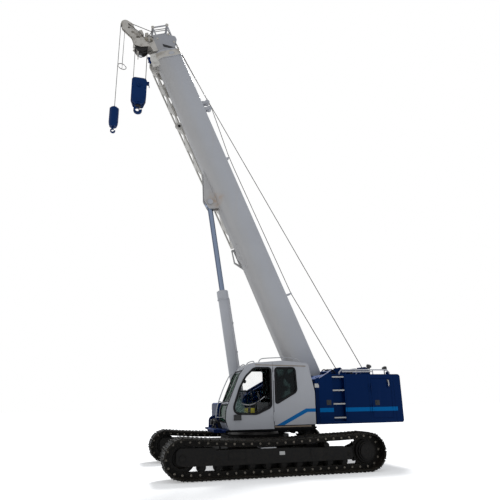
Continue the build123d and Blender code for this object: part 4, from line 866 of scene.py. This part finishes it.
def makeRoofTrim(v):
    top = v["top"]
    shapes = [(lathe, [(radius * a, rise * b) for a, b in v["cowlRows"]], (x, y, top - 0.002), (0, 0, 1), 32)
              for x, y, radius, rise in v["cowls"]]
    for x, y in v["eyes"]:
        shapes += [(addBox, (x - 0.05, y - 0.012, top - 0.003), (x + 0.05, y + 0.012, top + 0.05)),
                   (addRod, (x, y - 0.02, top + 0.045), (x, y + 0.02, top + 0.045), 0.035, 20)]
    build("roofCowls", "navy", "upper", *shapes, bevel=0.004)
    x, y = v["exhaust"]
    build("exhaustStack", "blackIron", "upper", (addRod, (x, y, top - 0.01), (x, y, top + 0.02), 0.10, 32),
          (addRod, (x, y, top), (x, y, top + 0.13), v["pipe"], 28),
          (addRod, (x, y, top + 0.12), (x - 0.07, y, top + 0.20), v["pipe"], 28), bevel=0.003)
    makeTube("middleRails", [v["rail"]], 0.015, "rung", "upper", order=2)
    (rear, y, z), radius = v["silencer"], v["silencerRadius"]
    half = radius * 0.8
    build("silencer", "roofNavy", "upper",
          (lathe, [(radius * a, along) for a, along in v["silencerRows"]], (rear, y, z), (1, 0, 0), 32),
          *boxes(*[((x - 0.02, y - half, top - 0.002), (x + 0.02, y + half, z)) for x in v["saddles"]]), bevel=0.003)
    build("airInlet", "roofNavy", "upper", *boxes(*v["inlet"]), bevel=0.012)
    hoses = []
    for k in range(3):
        y, back, rise = 0.31 + 0.03 * k, 0.1 * k, 0.02 * k
        hoses += [[(-1.72 - back, 0.56, 2.22), (-1.80 - back, 0.5, 2.36), (-1.95 - back, 0.42, 2.42),
                   (-2.12 - back, 0.36, 2.28), (-2.28, y, 2.08)],
                  [(-2.60, y, 2.05), (-2.72, y, 2.27 + rise), (-2.95, y, 2.30 + rise), (-3.12, y, 2.22),
                   (-3.2, y, 2.04)]]
    makeTube("winchHoses", hoses, v["hoseRadius"], "blackRubber", "upper")


makeRoofTrim(roofValues)
print("housings ready")

# Winches: wound rope on both drums, motor bolts
winchValues = {"centres": (-2.47, -3.33), "z": 1.96, "drum": 0.185, "rope": 0.009, "half": 0.262, "layers": 0.052}


def makeWinches(v):
    rope, half, foot, z = v["rope"], v["half"], v["drum"] - 0.004, v["z"]
    radius = v["drum"] + v["layers"]
    rows = [(foot, -half)]
    for k in range(int(half / rope)):
        y = (2 * k + 1) * rope - half
        rows += [(radius - rope, y - rope), (radius - 0.002, y - rope / 2), (radius, y),
                 (radius - 0.002, y + rope / 2)]
    rows.append((foot, half))
    shapes = []
    for name, x in zip(("mainWindings", "auxiliaryWindings"), v["centres"]):
        build(name, "greasedRope", "upper", (lathe, rows, (x, 0, z), (0, 1, 0), 48), smooth=60)
        shapes += [(addBoltRing, (x, side * 0.292, z), (0, side, 0), 0.235, 12, 0.012) for side in (1, -1)]
        shapes.append((addBoltRing, (x, 0.355, z), (0, 1, 0), 0.075, 8, 0.011))
    build("winchBolts", "bareSteel", "upper", *shapes)


makeWinches(winchValues)

# Frames over both winches, with a press roller and its arms
winchFrameValues = {"mainWinchFrame": (-2.20, -2.60, 2.475), "auxiliaryWinchFrame": (-2.92, -3.38, 2.49)}
winchPlateValues = {"sides": (0.29, -0.325), "thick": 0.022, "foot": 1.75, "roller": 0.045, "bolts": 0.337}


def makeWinchFrame(name, front, rear, top, v):
    outline = ((front + 0.05, v["foot"]), (front, top - 0.16), (front - 0.07, top - 0.03), (rear + 0.13, top),
               (rear + 0.02, top - 0.10), (rear, top - 0.26), (rear + 0.10, v["foot"]))
    shapes = [(addPlate, [(x, y, z) for x, z in outline], (0, v["thick"], 0)) for y in v["sides"]]
    for x, z in ((rear + 0.12, top - 0.09), (front - 0.06, top - 0.10)):
        shapes.append((addRod, (x, -0.30, z), (x, 0.30, z), 0.022, 20))
        shapes += [(addBolt, (x, side * v["bolts"], z), (0, side, 0), 0.018) for side in (1, -1)]
    shapes.append((addRod, (x, -0.25, z), (x, 0.25, z), v["roller"], 28))
    build(name, "navy", "upper", *shapes, bevel=0.004)


for name, (front, rear, top) in winchFrameValues.items():
    makeWinchFrame(name, front, rear, top, winchPlateValues)

# Hoist ropes, from the winches over the boom's rollers to its head
ropeValues = {"radius": 0.011, "main": ((8.946, -0.706), (7.157, -0.570), (2.559, -0.635)), "tail": (9.165, -0.724),
              "mainY": 0.028, "tailY": -0.028, "drumReach": 0.246,
              "over": {"main": ((12.063, 0.05, -0.415), (12.075, 0.05, 0.10), (11.66, 0.065, 0.53)),
                       "tail": ((12.063, -0.03, -0.415), (12.075, -0.03, 0.10), (12.60, 0.0, 0.80))}}


# A rope between two bodies has rings of points at its ends alone, so it stays straight as they move
def blendRope(name, start, end):
    made = build(name, "greasedRope", None, (addRod, start, end, ropeValues["radius"], 12))
    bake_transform(made)
    return made


def drumTangent(start, drumX, reach):
    away = Vector((drumX, start.y, winchValues["z"])) - start
    heading = atan2(away.z, away.x) - asin(reach / away.length)
    run = (away.length ** 2 - reach ** 2) ** 0.5
    return start + Vector((cos(heading), 0, sin(heading))) * run


def makeRopes(v):
    mainPoints = [onBoom(s, v["mainY"], d) for s, d in v["main"]]
    tailTop = onBoom(v["tail"][0], v["tailY"], v["tail"][1])
    made = [makeTube("mainRopeOnBoom", [mainPoints], v["radius"], "greasedRope", "boom_base", 2, 2)]
    for name, top, drumX in zip(("mainRopeLow", "tailRopeLow"), (mainPoints[-1], tailTop), winchValues["centres"]):
        made.append(blendRope(name, drumTangent(top, drumX, v["drumReach"]), top))
    for rope in made:
        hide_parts("hoist_ropes")
    for key, start in (("main", mainPoints[0]), ("tail", tailTop)):
        joints = [start.lerp(onBoom(*v["over"][key][0]), k / 3) for k in range(4)]
        for k in range(3):
            blendRope(f"{key}RopeHigh{k}", joints[k], joints[k + 1])
    over = [[onBoom(*place) for place in places] for places in v["over"].values()]
    makeTube("headRopes", over, v["radius"], "greasedRope", "boom_tip", 2, 2)


makeRopes(ropeValues)
print("ropes ready")

# Boom head: slots, pins, boxes, rope guards, sensors with cables, a lamp under the head
headValues = {
    "side": 0.206, "slot": ((11.30, 0.035), (11.40, 0.03), (11.18, -0.33), (11.12, -0.32)),
    "boxes": ((12.03, 0.50, 0.09, 0.06), (11.93, 0.34, 0.06, 0.05)),
    "pins": ((11.47, 0.42), (11.62, 0.12), (11.71, -0.28), (11.40, -0.36), (11.66, 0.86), (11.51, 0.68)),
    "hubs": (12.063, (0.11, -0.37)), "guardY": (-0.0975, -0.0325, 0.0325, 0.0975), "guardS": (11.30, 11.72),
    "guardD": 0.86, "lamp": (11.234, 0.12, 0.802), "lampAxis": (0.1, 0, -1),
    "lampRows": ((0, 0), (0.03, 0.0), (0.062, 0.07), (0.066, 0.13), (0.058, 0.13), (0.055, 0.12), (0, 0.12)),
    "lensRows": ((0, 0), (0.054, 0.0), (0.050, 0.006), (0.030, 0.011), (0, 0.013)),
    "drums": ((11.66, 0.47, 0.045, 0.07), (11.60, 0.33, 0.03, 0.05)),
    "cables": (((11.66, 0.25, 0.47), (11.76, 0.26, 0.40), (11.74, 0.23, 0.30), (11.66, 0.225, 0.24)),
               ((11.60, 0.24, 0.33), (11.55, 0.25, 0.30), (11.52, 0.23, 0.38), (11.56, 0.225, 0.46)),
               ((11.74, 0.22, 0.52), (11.95, 0.20, 0.56), (12.15, 0.10, 0.62), (12.45, 0.08, 0.78))),
}


def makeHead(v):
    # painted shade: thin black plates in the shape of the head's slots, for the dark inside of the openings
    bm = bmesh.new()
    for y in (v["side"] + 0.006, -v["side"] - 0.006):
        growFaces(bm, [bm.faces.new([bm.verts.new(onBoom(s, y, d)) for s, d in v["slot"]])])
    bmesh.ops.solidify(bm, geom=bm.faces[:], thickness=0.004)
    makePiece("headSlotShade", bm, "lampBlack", "boom_tip", bevel=0.002)
    shapes = []
    for side in (1, -1):
        for s, d in v["pins"]:
            shapes += [(addRod, onBoom(s, side * v["side"], d), onBoom(s, side * (v["side"] + 0.022), d), 0.034, 20),
                       (addBolt, onBoom(s, side * (v["side"] + 0.02), d), (0, side, 0), 0.016)]
    build("headPins", "warmGrey", "boom_tip", *shapes, bevel=0.002)
    build("headBoxes", "warmGrey", "boom_tip",
          *[(addBox, (-a, -0.085, -b), (a, 0.10, b), boomTurn(s, 0, d)) for s, d, a, b in v["boxes"]], bevel=0.006)
    s, depths = v["hubs"]
    shapes = [(addRod, onBoom(s, side * 0.20, d), onBoom(s, side * 0.22, d), 0.05, 24) for side in (1, -1)
              for d in depths]
    low, high = v["guardS"]
    shapes += [(addRod, onBoom(low, y, v["guardD"]), onBoom(high, y, v["guardD"]), 0.009, 10) for y in v["guardY"]]
    shapes += [(addRod, onBoom(s, -0.19, v["guardD"]), onBoom(s, 0.19, v["guardD"]), 0.014, 12) for s in (low, high)]
    build("ropeGuards", "warmGrey", "boom_tip", *shapes, bevel=0.002)
    shapes = []
    for s, d, a, b in v["drums"]:
        shapes += [(addRod, onBoom(s, 0.212, d), onBoom(s, 0.262, d), a, 24),
                   (addBox, (-b, 0.205, -b * 0.6), (b, 0.236, b * 0.6), boomTurn(s, 0, d))]
    build("headSensors", "dustySteel", "boom_tip", *shapes, bevel=0.004)
    lines = [[onBoom(*place) for place in line] for line in v["cables"]]
    makeTube("headCables", lines, 0.009, "blackRubber", "boom_tip")
    s, y, d = v["lamp"]
    foot, axis = onBoom(s, y, d) + Vector((0, 0, 0.05)), Vector(v["lampAxis"])
    build("headLamp", "lampBlack", "boom_tip", (lathe, v["lampRows"], foot, axis, 28),
          (addRod, foot - Vector((0, 0, 0.01)), onBoom(s + 0.05, y, 0.42), 0.012, 10), bevel=0.001)
    build("headLens", "lampLens", "boom_tip", (lathe, v["lensRows"], foot + axis.normalized() * 0.118, axis, 28))


makeHead(headValues)

# Boom: collar bolts, a cover and pipes, pin caps, and the cheeks of its foot
boomTrimValues = {"cheeks": ((0.62, -0.386), (0.165, -0.386), (0.02, -0.32), (-0.07, -0.19), (0.62, -0.19)),
                  "cheekY": (0.258, 0.286), "collarS": 10.955, "collarD": (-0.30, -0.18, 0.0, 0.14),
                  "pipes": (-0.06, 0.06), "pipeY": -0.296, "pipeS": (0.55, 4.4), "clamps": (0.9, 1.9, 2.9, 3.9)}


def makeBoomTrim(v):
    shapes = []
    for side in (1, -1):
        shapes += [(addBolt, onBoom(v["collarS"], side * 0.312, d), (0, side, 0), 0.014) for d in v["collarD"]]
        shapes.append((addBox, (-0.05, -0.004, -0.075), (0.05, 0.004, 0.075),
                       boomTurn(v["collarS"], side * 0.316, -0.09)))
    low, high = v["pipeS"]
    shapes += [(addRod, onBoom(low, v["pipeY"], d), onBoom(high, v["pipeY"], d), 0.011, 10) for d in v["pipes"]]
    shapes += [(addBox, (-0.02, -0.012, -0.09), (0.02, 0.012, 0.09), boomTurn(s, v["pipeY"], 0)) for s in v["clamps"]]
    build("boomTrim", "greyWhite", "boom_base", *shapes, bevel=0.002)
    shapes = []
    for s, y, d, radius, sides, ring, bolts in ((0.0, 0.315, 0.0, 0.14, 36, 0.11, 8),
                                                (5.94, 0.150, 0.60, 0.085, 32, 0.06, 6)):
        for side in (1, -1):
            shapes += [(addRod, onBoom(s, side * y, d), onBoom(s, side * (y + 0.012), d), radius, sides),
                       (addBoltRing, onBoom(s, side * (y + 0.01), d), (0, side, 0), ring, bolts, 0.012)]
    build("pinCaps", "greyWhite", "boom_base", *shapes, bevel=0.003)
    inner, outer = v["cheekY"]
    build("footCheeks", "boom", "boom_base",
          *[(addPlate, [onBoom(s, side * inner, d) for s, d in v["cheeks"]], (0, side * (outer - inner), 0))
            for side in (1, -1)], bevel=0.004)


makeBoomTrim(boomTrimValues)

# Jib stowage: feet under the boom's mouth with a latch box, the pin in the jib's ear, hanger pins
stowValues = {"latch": ((10.83, 11.04), (0.590, 0.665), (0.125, 0.195)), "footY": (0.13, 0.20),
              "foot": ((11.13, 0.34), (11.11, 0.54), (10.92, 0.615), (10.68, 0.60), (10.70, 0.34)),
              "footBolts": ((11.02, 0.47), (10.78, 0.50)), "ear": (8.79, -0.345, 0.406), "hangers": (5.2, 7.8, 10.3)}


def makeStow(v):
    (s0, s1), (d0, d1), (y0, y1) = v["latch"]
    middle, depth, y = (s0 + s1) / 2, (d0 + d1) / 2, (y0 + y1) / 2
    build("jibLatch", "navy", "boom_base",
          (addBox, (s0 - middle, y0, d0 - depth), (s1 - middle, y1, d1 - depth), boomTurn(middle, 0, depth)),
          (addRod, onBoom(s0 + 0.05, y, d1 - 0.02), onBoom(s0 + 0.05, y, d1 + 0.03), 0.02, 20),
          *[(addBolt, onBoom(s, y1, depth), (0, 1, 0), 0.018) for s in (s0 + 0.06, s1 - 0.06)], bevel=0.006)
    inner, outer = v["footY"]
    shapes = []
    for side in (1, -1):
        shapes.append((addPlate, [onBoom(s, side * inner, d) for s, d in v["foot"]], (0, side * (outer - inner), 0)))
        shapes += [(addBolt, onBoom(s, side * outer, d), (0, side, 0), 0.02) for s, d in v["footBolts"]]
    build("mouthFoot", "jib", "boom_base", *shapes, bevel=0.008)
    s, y, d = v["ear"]
    build("jibPins", "lampBlack", "boom_base",
          (addRod, onBoom(s, y - 0.08, d), onBoom(s, y + 0.025, d), 0.041, 24),
          *[(addBolt, onBoom(s + shift, y, 0.0), (0, 1, 0), 0.014) for s in v["hangers"] for shift in (-0.05, 0.05)],
          bevel=0.002)


makeStow(stowValues)


# Luffing cylinder: gland rings, a valve block and pipes along the barrel
def makeRam(v):
    def onRam(run, out=0.0):
        return ramFoot - ramAhead * out + ramUp * run

    def clamp(a, b, c, run, out):
        return addBox, (-a, -b, -c), (a, b, c), Matrix.Translation(onRam(run, out)) @ turnTo(ramUp)
    build("glandRings", "greyWhite", "luffing_barrel",
          (lathe, ((0.146, 0), (0.172, 0.004), (0.172, 0.03), (0.146, 0.034)), onRam(v["collar"]), ramUp, 40),
          (lathe, ((0.09, 0), (0.14, 0.0), (0.125, 0.025), (0.078, 0.03)), onRam(v["gland"]), ramUp, 40),
          (addBoltRing, onRam(v["gland"] + 0.002), ramUp, 0.135, v["glandBolts"], 0.013), bevel=0.002)
    low, high = v["pipe"]
    build("ramPipes", "greyWhite", "luffing_barrel", clamp(0.05, 0.08, 0.12, v["block"], 0.185),
          *[clamp(0.02, 0.03, 0.02, run, 0.165) for run in v["clamps"]],
          (addRod, onRam(low, 0.165), onRam(high, 0.165), 0.013, 12),
          (addRod, onRam(high, 0.165), onRam(high + 0.04, 0.13), 0.018, 12), bevel=0.003)


makeRam(ramValues)
print("boom trim ready")

# Hook block and ball: bolts, pins, a guard bracket, safety latches; the limit ring and its chains
hookValues = {"x": 3.4867, "z": 10.930, "face": 0.130, "ring": (4.036, 0.0, 11.58), "ringRadius": 0.125,
              "chainTop": (4.03, 0.045, 13.05), "ballX": 4.1654,
              "nut": ((0.0, 0), (0.075, 0), (0.085, 0.02), (0.085, 0.06), (0.06, 0.075), (0, 0.075)),
              "socket": ((0.0, 0), (0.035, 0), (0.035, 0.05), (0.02, 0.08), (0, 0.08))}


def makeHooks(v):
    x, z, face = v["x"], v["z"], v["face"]
    shapes = [(addBox, (x - 0.30, -0.05, z + 0.12), (x - 0.22, 0.05, z + 0.20)),
              (addRod, (x - 0.29, 0, z + 0.14), (x - 0.31, 0, z + 0.02), 0.012, 10)]
    for side in (1, -1):
        near, out = side * face, side * (face + 0.03)
        shapes += [(addRod, (x, near, z), (x, out, z), 0.075, 28), (addBolt, (x, out, z), (0, side, 0), 0.03),
                   (addBox, (x - 0.10, near - 0.008, z - 0.62), (x + 0.10, near + 0.008, z - 0.52)),
                   (addRod, (x, near, z - 0.57), (x, out, z - 0.57), 0.045, 24)]
        shapes += [(addBolt, (x + dx, near, z + dz), (0, side, 0), 0.017) for dx in (-0.165, 0.165)
                   for dz in (0.17, -0.10, -0.42)]
    build("blockFittings", "hookBlue", "main_hook", *shapes, bevel=0.003)
    build("hookNut", "blackIron", "main_hook", (lathe, v["nut"], (x, 0, z - 0.735), (0, 0, 1), 28), bevel=0.002)
    for name, centre, size, body in (("mainLatch", Vector((x - 0.035, 0, z - 0.80)), 1.0, "main_hook"),
                                     ("ballLatch", Vector((v["ballX"] - 0.02, 0, 9.345)), 0.58, "ball_hook")):
        half = Vector((0, 0.04, 0)) * size
        build(name, "bareSteel", body,
              (addRod, centre, centre + Vector((-0.07, 0, -0.10)) * size, 0.011 * size, 12),
              (addRod, centre - half, centre + half, 0.013 * size, 12))
    build("ballSocket", "hookBlue", "ball_hook",
          (lathe, v["socket"], (v["ballX"], 0, 10.06), (0, 0, 1), 24), bevel=0.001)
    ring, radius = Vector(v["ring"]), v["ringRadius"]
    circle = [ring + Vector((radius * cos(a), radius * sin(a), 0.03 * cos(a))) for a in spread(0, 2 * pi, 32)]
    makeTube("limitRing", [circle], 0.011, "bareSteel", "ball_hook", order=2)
    x, y, z = v["chainTop"]
    chains = [[ring + Vector((0, side * radius, 0)), (x, side * y, z)] for side in (1, -1)]
    makeTube("limitChains", chains, 0.006, "bareSteel", "ball_hook", 2, 2)


makeHooks(hookValues)
print("hooks ready")

# Crawlers: link pins, shoe bolts and lugs round each belt, along the line on which its shoes sit
beltValues = {"wrap": 0.381, "low": 0.054, "axleZ": 0.435, "idlerZ": 0.447, "axleX": 2.165, "ground": 1.96,
              "carrier": (-1.17, 0.782), "sags": (0.072, 0.006), "count": 56, "gauge": 1.9, "pinHalf": 0.114,
              "pinSink": -0.05, "boltY": (-0.081, 0.081), "boltX": (-0.06, 0.06), "lugY": (-0.33, 0.33),
              "lug": ((-0.07, -0.018, -0.004), (0.07, 0.018, 0.010)),
              "shoeTop": 0.028}


def beltPins(v):
    def arc(x, z, start, end):
        return [Vector((x + v["wrap"] * cos(a), 0, z + v["wrap"] * sin(a)))
                for a in spread(radians(start), radians(end), 40)]

    def sagging(a, b, sag):
        return [a.lerp(b, t) - Vector((0, 0, 4 * sag * t * (1 - t))) for t in spread(0, 1, 30)[1:-1]]
    rise, run = v["idlerZ"] - v["low"], v["axleX"] - v["ground"]
    lift = degrees(atan2(rise, run) - asin(v["wrap"] / hypot(run, rise)))
    idler, sprocket = arc(v["axleX"], v["idlerZ"], lift - 90, 92), arc(-v["axleX"], v["axleZ"], 88, 270)
    carrier = Vector((v["carrier"][0], 0, v["carrier"][1]))
    loop = [Vector((v["ground"], 0, v["low"]))] + idler + sagging(idler[-1], carrier, v["sags"][0]) + [carrier]
    loop += sagging(carrier, sprocket[0], v["sags"][1]) + sprocket
    loop.append(loop[0])
    lengths = [(b - a).length for a, b in zip(loop, loop[1:])]
    step, found, walked, k = sum(lengths) / v["count"], [], 0.0, 0
    for n in range(v["count"]):
        while walked + lengths[k] < n * step:
            walked += lengths[k]
            k += 1
        found.append(loop[k].lerp(loop[k + 1], (n * step - walked) / lengths[k]))
    return found


pins = beltPins(beltValues)


def makeBeltTrim(side, body, v):
    middle, across = Vector((0, side * v["gauge"], 0)), Vector((0, 1, 0))
    rods, bolts = [], []
    for a, b in zip(pins, pins[1:] + pins[:1]):
        forward = (b - a).normalized()
        out = Vector((forward.z, 0, -forward.x))
        place = a + out * v["pinSink"] + middle
        rods.append((addRod, place - across * v["pinHalf"], place + across * v["pinHalf"], 0.024, 14))
        centre = (a + b) / 2 + middle + out * v["shoeTop"]
        bolts += [(addBolt, centre + forward * x + across * y, out, 0.014) for y in v["boltY"] for x in v["boltX"]]
        turn = Matrix((forward, across, out)).transposed().to_4x4()
        bolts += [(addBox, *v["lug"], Matrix.Translation(centre + across * y) @ turn) for y in v["lugY"]]
    build(body + "Pins", "dustySteel", body, *rods)
    build(body + "ShoeBolts", "trackSteel", body, *bolts)


# Crawler frames: hub and cover bolts, a bare plate, a step, and black skirts inboard of the rollers, painted shade
# for the dark ground between them
crawlerValues = {"faceY": 0.2, "covers": ((-1.72, 0.41), (1.36, 0.40)), "joints": (-0.95, 0.95),
                 "rollerBolts": (-1.6, 0.37, 10), "plate": ((-0.127, 0.0), (0.44, 0.515)),
                 "step": ((0.07, 0.42), (0.588, 0.606)), "guardY": 0.128, "skirtThick": 0.012,
                 "skirtX": (-1.76, 1.24), "skirtZ": (0.086, 0.30), "ribs": 9, "ribStep": 0.34}


def makeRollerShadeSkirts(side, body, v):
    # painted shade: a ribbed black plate that closes the gaps between the rollers
    y, (x0, x1), (z0, z1) = side * (beltValues["gauge"] - v["guardY"]), v["skirtX"], v["skirtZ"]
    face = y - side * v["skirtThick"]
    shapes = boxes(((x0, y, z0), (x1, face, z1)))
    for k in range(v["ribs"]):
        x = x0 + 0.15 + k * v["ribStep"]
        shapes += [(addBox, (x - 0.02, y, z0 + 0.02), (x + 0.02, y - side * 0.05, z1)),
                   (addBolt, (x + 0.08, face, 0.25), (0, -side, 0), 0.014)]
    build(body + "RollerShadeSkirts", "black", body, *shapes, bevel=0.003)


def makeFrameTrim(side, body, v):
    y, out, belt = side * (beltValues["gauge"] + v["faceY"]), (0, side, 0), beltValues
    hub, idler = (-belt["axleX"], y + side * 0.010, belt["axleZ"]), Vector((belt["axleX"], y, belt["idlerZ"]))
    shapes = [(addBoltRing, hub, out, 0.145, 12, 0.014), (addBoltRing, hub, out, 0.06, 6, 0.014),
              (addBoltRing, idler, out, 0.075, 8, 0.012), (addRod, idler, idler + Vector(out) * 0.028, 0.06, 28)]
    for x, z in v["covers"]:
        shapes += [(addRod, (x, y - side * 0.005, z), (x, y + side * 0.012, z), 0.055, 24),
                   (addBolt, (x, y + side * 0.01, z), out, 0.02)]
    shapes += [(addBolt, (x + dx, y + side * 0.010, z), out, 0.016) for x in v["joints"] for dx in (-0.18, 0.18)
               for z in (0.42, 0.52)]
    start, pitch, count = v["rollerBolts"]
    shapes += [(addBolt, (start + pitch * k + dx, y - side * 0.048, 0.262), out, 0.012) for k in range(count)
               for dx in (-0.035, 0.035)]
    build(body + "FrameBolts", "black", body, *shapes)
    (x0, x1), (z0, z1) = v["plate"]
    build(body + "BarePlate", "rung", body, (addBox, (x0, y, z0), (x1, y + side * 0.004, z1)), bevel=0.002)
    (x0, x1), (z0, z1) = v["step"]
    inner, outer = y - side * 0.29, y - side * 0.01
    treads = [((x, inner, z1 - 0.002), (x + 0.01, outer, z1 + 0.006)) for x in spread(x0 + 0.02, x1 - 0.055, 5)]
    build(body + "Step", "aluminium", body, *boxes(((x0, y - side * 0.30, z0), (x1, y, z1)), *treads), bevel=0.002)


for side, body in ((1, "crawler_left"), (-1, "crawler_right")):
    makeRollerShadeSkirts(side, body, crawlerValues)
    makeBeltTrim(side, body, beltValues)
    makeFrameTrim(side, body, crawlerValues)
print("crawlers ready")

# Crests that carry the webs higher beside the boom, with a flange along the top
crestValues = {"outline": ((0.40, 1.30), (0.42, 1.60), (0.36, 1.735), (-0.36, 2.12), (-0.86, 2.23), (-1.16, 2.20),
                           (-1.30, 2.02), (-0.9, 1.60), (0.12, 1.38)),
               "webs": {"leftCrest": 0.38, "rightCrest": -0.38}, "half": 0.018, "flange": 0.034, "rise": 0.012,
               "round": 0.05}


def makeCrests(v):
    for name, y in v["webs"].items():
        bm = bmesh.new()
        corners = [bm.verts.new((x, y - v["half"], z)) for x, z in v["outline"]]
        bm.faces.new(corners)
        roundCorners(bm, corners[1:3], v["round"])
        bmesh.ops.translate(bm, verts=growFaces(bm, bm.faces[:]), vec=(0, 2 * v["half"], 0))
        bmesh.ops.recalc_face_normals(bm, faces=bm.faces)
        top = [face for face in bm.faces if face.normal.z > 0.3 and abs(face.normal.y) < 0.1]
        lifted = growFaces(bm, top)
        bmesh.ops.translate(bm, verts=lifted, vec=(0, 0, v["rise"]))
        for vert in lifted:
            vert.co.y = y + (v["flange"] if vert.co.y > y else -v["flange"])
        makePiece(name, bm, "navy", "upper", bevel=0.003)


makeCrests(crestValues)

# Carbody and deck: ring bolts, hoses at the cab's front and under the deck, fittings and a shelf below the cab
deckValues = {"ring": (0, 0, 0.845), "ringRadius": 0.655, "bolts": 36, "frontHoses": 4, "deckHoses": 5,
              "fittings": ((-0.45, 0.05), (-0.78, 0.055), (-0.98, 0.06), (-1.12, 0.05)),
              "ledge": ((-1.15, 1.18, 0.955), (-0.2, 1.262, 0.985)),
              "shelf": ((-1.12, 1.24, 0.978), (-0.17, 1.290, 1.010))}


def makeDeckTrim(v):
    build("ringBolts", "bareSteel", "carbody",
          (addBoltRing, v["ring"], (0, 0, 1), v["ringRadius"], v["bolts"], 0.014))
    hoses = []
    for k in range(v["frontHoses"]):
        drop, y = 0.018 * k, 0.62 + 0.09 * k
        hoses.append([(1.19, y, 0.99), (1.26 + drop, y, 1.10), (1.25 + drop, y + 0.04, 1.22 - drop),
                      (1.12, y + 0.08, 1.15), (1.10, y + 0.10, 0.99)])
    makeTube("frontHoses", hoses, 0.016, "blackRubber", "upper")
    hoses = []
    for k in range(v["deckHoses"]):
        x = -0.85 - 0.07 * k
        hoses.append([(x, 0.30, 0.915), (x - 0.05, 0.75, 0.86 - 0.01 * k), (x - 0.12, 1.02, 0.90),
                      (x - 0.2, 1.10, 0.955)])
    makeTube("deckHoses", hoses, 0.020, "blackRubber", "upper")
    build("deckFittings", "black", "upper", (addBox, *v["ledge"]),
          *[(addRod, (x, 0.78, 0.865), (x, 0.935, 0.865), radius, 24) for x, radius in v["fittings"]], bevel=0.004)
    build("deckShelf", "tan", "upper", (addBox, *v["shelf"]), bevel=0.004)


makeDeckTrim(deckValues)
print("deck ready")

# Floor, backdrop and light
stageValues = {"floor": (0.80, 0.80, 0.80), "floorSecond": (0.78, 0.78, 0.78), "floorGlow": 0.35, "floorSize": 150,
               "world": (0.93, 0.96, 1.0), "worldStrength": 0.62, "sun": 2.3, "sunAngle": 12,
               "sunPlace": (-0.45, -0.75, 1.0)}


def makeStage(v):
    bm = bmesh.new()
    bmesh.ops.create_grid(bm, x_segments=1, y_segments=1, size=v["floorSize"])
    mesh = bpy.data.meshes.new("floor")
    bm.to_mesh(mesh)
    bm.free()
    material, where = startMaterial("paleFloor")
    tree = where.tree
    tone = mixColor(noise(where, 0.5), v["floor"], v["floorSecond"])
    plain = Value(addNode(tree, "ShaderNodeBsdfDiffuse", {"Color": tone}))
    glow = Value(addNode(tree, "ShaderNodeEmission", {"Color": (1, 1, 1), "Strength": v["floorGlow"]}))
    seen = Value(addNode(tree, "ShaderNodeLightPath"), "Is Camera Ray")
    lit = Value(addNode(tree, "ShaderNodeAddShader", {0: plain, 1: glow}))
    shader = Value(addNode(tree, "ShaderNodeMixShader", {0: seen, 1: plain, 2: lit}))
    mesh.materials.append(endMaterial(material, shader))
    addObject("floor", mesh)
    world = bpy.data.worlds.new("paleSky")
    bpy.context.scene.world = world
    world.use_nodes = True
    sky = world.node_tree
    sky.nodes.clear()
    path = addNode(sky, "ShaderNodeLightPath")
    seen = calc("MAXIMUM", Value(path, "Is Camera Ray"), Value(path, "Is Transmission Ray"))
    glow = Value(addNode(sky, "ShaderNodeBackground", {
        "Color": mixColor(seen, v["world"], (1, 1, 1)),
        "Strength": seen * (1.0 - v["worldStrength"]) + v["worldStrength"]}))
    addNode(sky, "ShaderNodeOutputWorld", {"Surface": glow})
    lamp = bpy.data.lights.new("softSun", "SUN")
    lamp.energy = v["sun"]
    lamp.angle = radians(v["sunAngle"])
    sun = addObject("softSun", lamp)
    sun.rotation_euler = Vector(v["sunPlace"]).to_track_quat("Z", "Y").to_euler()


makeStage(stageValues)
bpy.context.scene.view_settings.view_transform = "Standard"
print("stage ready")
